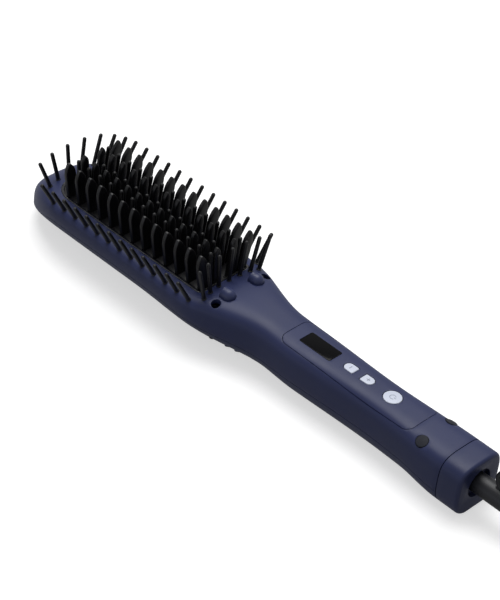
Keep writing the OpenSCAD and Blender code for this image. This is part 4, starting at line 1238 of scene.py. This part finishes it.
def coil_point(i):
    lap = min(COIL_LAYERS - 1, i // LAP_STEPS)
    step = i - lap * LAP_STEPS
    way, start = (-1, COIL_OUT) if lap % 2 == 0 else (1, COIL_IN)
    bulge = math.sin(math.pi * max(0, step - LAYER_STEPS) / CLIMB_STEPS)
    r = start + way * (COIL_PITCH * min(step, LAYER_STEPS) / COIL_STEPS + CLIMB_BULGE * bulge)
    z = (LAY_Z + COIL_PITCH * (lap + ease((step - LAYER_STEPS) / CLIMB_STEPS))
         + TAIL_RISE * ease((i - ALL_STEPS + RISE_STEPS) / RISE_STEPS))
    a = 2 * math.pi * i / COIL_STEPS - math.pi / 2
    return (COIL_X + r * math.cos(a), COIL_Y + r * math.sin(a), z)


COIL = [coil_point(i) for i in range(ALL_STEPS + 1)]
COIL_START = (COIL[0][0] - 2 * CORD_R, COIL[0][1], COIL[0][2])
COIL_END = (COIL[-1][0] + 2 * CORD_R, COIL[-1][1], COIL[-1][2])
CORD_ROUTE = [(RELIEF_TO, 0, SWIVEL_Z), (172, 0, SWIVEL_Z), (181, -0.4, 14.9), (191, -2.8, 13),
              (201, -7, 10.3), (211, -12.1, 7.7), (221, -17.5, 5.6), (231, -22.4, 4.4), (242, -26.4, 3.9),
              COIL_START]
TAIL_ROUTE = [COIL_END, (272, -13.6, 26.3), (278, -13.6, 26.4), (285, -12.6, 26.6), (291.6, -9.9, 26.8),
              (297.2, -5.7, 27), (301.6, 0, 27.3), (304.3, 6.6, 27.6), (305.2, 13.6, 27.9),
              (304.3, 20.6, 28.2), (301.6, 27.2, 28.4), (297.2, 32.9, 28.6), (291.6, 37.2, 28.8),
              (285, 40, PLUG_Z), (278, 41, PLUG_Z), (272, 41, PLUG_Z)]


def eased_route(points, steps=5):
    """A smooth line through the points, by Catmull and Rom's formula."""
    line = []
    for i in range(len(points) - 1):
        a, b, c, d = (Vector(points[max(0, min(len(points) - 1, i + k))]) for k in (-1, 0, 1, 2))
        for j in range(steps):
            t = j / steps
            line.append(0.5 * (2 * b + (c - a) * t + (2 * a - 5 * b + 4 * c - d) * t * t
                               + (3 * b - a - 3 * c + d) * t ** 3))
    return line + [Vector(points[-1])]


def make_cord():
    line = eased_route(CORD_ROUTE) + [Vector(p) for p in COIL] + eased_route(TAIL_ROUTE)
    curve = bpy.data.curves.new("mains_cord", "CURVE")
    curve.dimensions = "3D"
    spline = curve.splines.new("POLY")
    spline.points.add(len(line) - 1)
    for point, place in zip(spline.points, line):
        point.co = (*(place * MM), 1)
    spline.use_smooth = True
    curve.bevel_depth = CORD_R * MM
    curve.bevel_resolution = 5
    curve.use_fill_caps = True
    curve.materials.append(CORD_BLACK)
    cord = placed("mains_cord", curve)
    length = sum((b - a).length for a, b in zip(line, line[1:])) * MM
    done(cord, "casing", "cord", "cord", "cord_coil", "cord_tail")
    return cord, length


def make_tie():
    """A flat strap round the coil, on the side where the cord comes in."""
    gap, t, half = 0.3, 0.5, 4
    r0, r1 = COIL_IN - CORD_R - 3 * gap, COIL_OUT + CORD_R + gap
    high = COIL_TOP + CORD_R + gap + t
    outer = slab_outline(r0 - t, r1 + t, high / 2, 2.2, 2.2, 6)(0)
    inner = slab_outline(r0, r1, high / 2 - t, 1.8, 1.8, 6)(0)
    rings = []
    for o, n in zip(outer, inner):
        corners = ((o, -half), (o, half), (n, half), (n, -half))
        rings.append([(COIL_X + x, COIL_Y - r, high / 2 + z) for (r, z), x in corners])
    return done(piece("coil_strap", *looped(rings), STRAP_BLACK, 40), "casing", "cord_tie", "cord_tie")


def make_plug():
    """The mains plug: a wide face that narrows to a ribbed grip and the cord."""
    face = PLUG_X - PLUG_LEN
    sections = [(0, 11.6, 5.8), (0.3, 12.5, 6.6), (1.0, PLUG_HW, PLUG_HH), (14, PLUG_HW, PLUG_HH),
                (17, 12.2, 7), (19, 9.4, 6.9), (21, 8.6, 6.7), (24, 8.2, 6.5), (28, 7.3, 6.1), (32, 6.2, 5.6),
                (36, 5.1, 4.9), (PLUG_LEN, 4.5, 4.5)]
    rings = []
    for x, hy, hz in sections:
        power = 4 - 2 * ease(x / 36)
        ring = []
        for k in range(64):
            c, s = math.cos(2 * math.pi * k / 64), math.sin(2 * math.pi * k / 64)
            ring.append((face + x, PLUG_AT_Y + hy * bowed(c, power), PLUG_Z + hz * bowed(s, power)))
        rings.append(ring)
    plug = piece("mains_plug", *lofted(rings), MAINS_BLACK, 40)
    roots = [(face, PLUG_AT_Y + s * PIN_APART / 2, PLUG_Z) for s in (-1, 1)]
    holes = [disc_cutter(root, ALONG_X, PIN_HOLE_R, -2, 0.8, 32) for root in roots]
    carve(plug, joined(*holes), sharp=40)
    ribs = []
    for x in (20, 22.6, 25.2, 27.8):
        for s in (-1, 1):
            wide = 8.8 - 0.22 * (x - 18)
            rib = slab_outline(face + x - 0.45, face + x + 0.45, wide * 0.55, 0.4, 0.4, 4)
            form = stack("rib", rib, [(0, 0), (0, 0.6), (-0.2, 0.8)], MAINS_BLACK)
            turn = Matrix.Identity(4) if s > 0 else Matrix.Rotation(math.pi, 4, "X")
            high = (5.75 - 0.1 * (x - 20)) * s
            form.data.transform(Matrix.Translation((0, PLUG_AT_Y * MM, (PLUG_Z + high) * MM)) @ turn)
            ribs.append(form)
    joined(plug, *ribs)
    return done(plug, "casing", "plug_body", "plug_body")


cord, cord_length = make_cord()
tie = make_tie()
mains_plug = make_plug()


# ---- Floor, world and lamps
# The floor's half width and height are in metres.
FLOOR_HW = 4
FLOOR_Z = -0.0002
FLOOR_TONE = 0.62
FLOOR_BOUNCE = 0.16
FLOOR_GLOW = 0.58
SKY = 0.3
MIRRORED = 0.35


def seen_share(tree):
    """1 for camera rays and through glass, MIRRORED for mirrored rays, and 0 for light that bounces."""
    path = tree.nodes.new("ShaderNodeLightPath").outputs
    share = math_node(tree, "MULTIPLY", path["Is Glossy Ray"], MIRRORED)
    for kind in ("Is Camera Ray", "Is Transmission Ray"):
        share = math_node(tree, "MAXIMUM", share, path[kind])
    return share


def make_floor():
    """A pale floor that keeps its shadow and bounces little light on the brush, as in the photograph."""
    mesh = bpy.data.meshes.new("floor")
    corners = ((-1, -1), (1, -1), (1, 1), (-1, 1))
    mesh.from_pydata([(x * FLOOR_HW, y * FLOOR_HW, FLOOR_Z) for x, y in corners], [], [(0, 1, 2, 3)])
    material = bpy.data.materials.new("pale floor")
    material.use_nodes = True
    tree = material.node_tree
    shader = tree.nodes["Principled BSDF"]
    shader.inputs["Roughness"].default_value = 0.8
    shader.inputs["Specular IOR Level"].default_value = 0.1
    seen = seen_share(tree)
    grey = tree.nodes.new("ShaderNodeCombineColor")
    tone = ranged(tree, seen, FLOOR_BOUNCE, FLOOR_TONE)
    for label in ("Red", "Green", "Blue"):
        tree.links.new(tone, grey.inputs[label])
    tree.links.new(grey.outputs["Color"], shader.inputs["Base Color"])
    shader.inputs["Emission Color"].default_value = (1, 1, 1, 1)
    tree.links.new(ranged(tree, seen, 0, FLOOR_GLOW), shader.inputs["Emission Strength"])
    mesh.materials.append(material)
    placed("floor", mesh)


def make_world():
    world = bpy.data.worlds.new("studio")
    bpy.context.scene.world = world
    world.use_nodes = True
    tree = world.node_tree
    back = tree.nodes["Background"]
    back.inputs["Color"].default_value = (1, 1, 1, 1)
    tree.links.new(ranged(tree, seen_share(tree), SKY, 1), back.inputs["Strength"])


def lamp(name, place, aim, size, power, colour=(1, 1, 1)):
    data = bpy.data.lights.new(name, "AREA")
    data.shape = "RECTANGLE"
    data.size, data.size_y = size
    data.energy = power
    data.color = colour
    obj = placed(name, data)
    obj.location = place
    obj.rotation_mode = "QUATERNION"
    obj.rotation_quaternion = (Vector(aim) - Vector(place)).to_track_quat("-Z", "Y")


make_floor()
make_world()
lamp("overhead", (-0.35, 0.3, 1.25), (0, 0, 0), (1.1, 0.9), 16)
lamp("low_front", (-0.2, -1.2, 0.16), (0, 0, 0.01), (1.6, 0.12), 1.2, (0.75, 0.8, 1.0))
bpy.context.scene.view_settings.view_transform = "Standard"
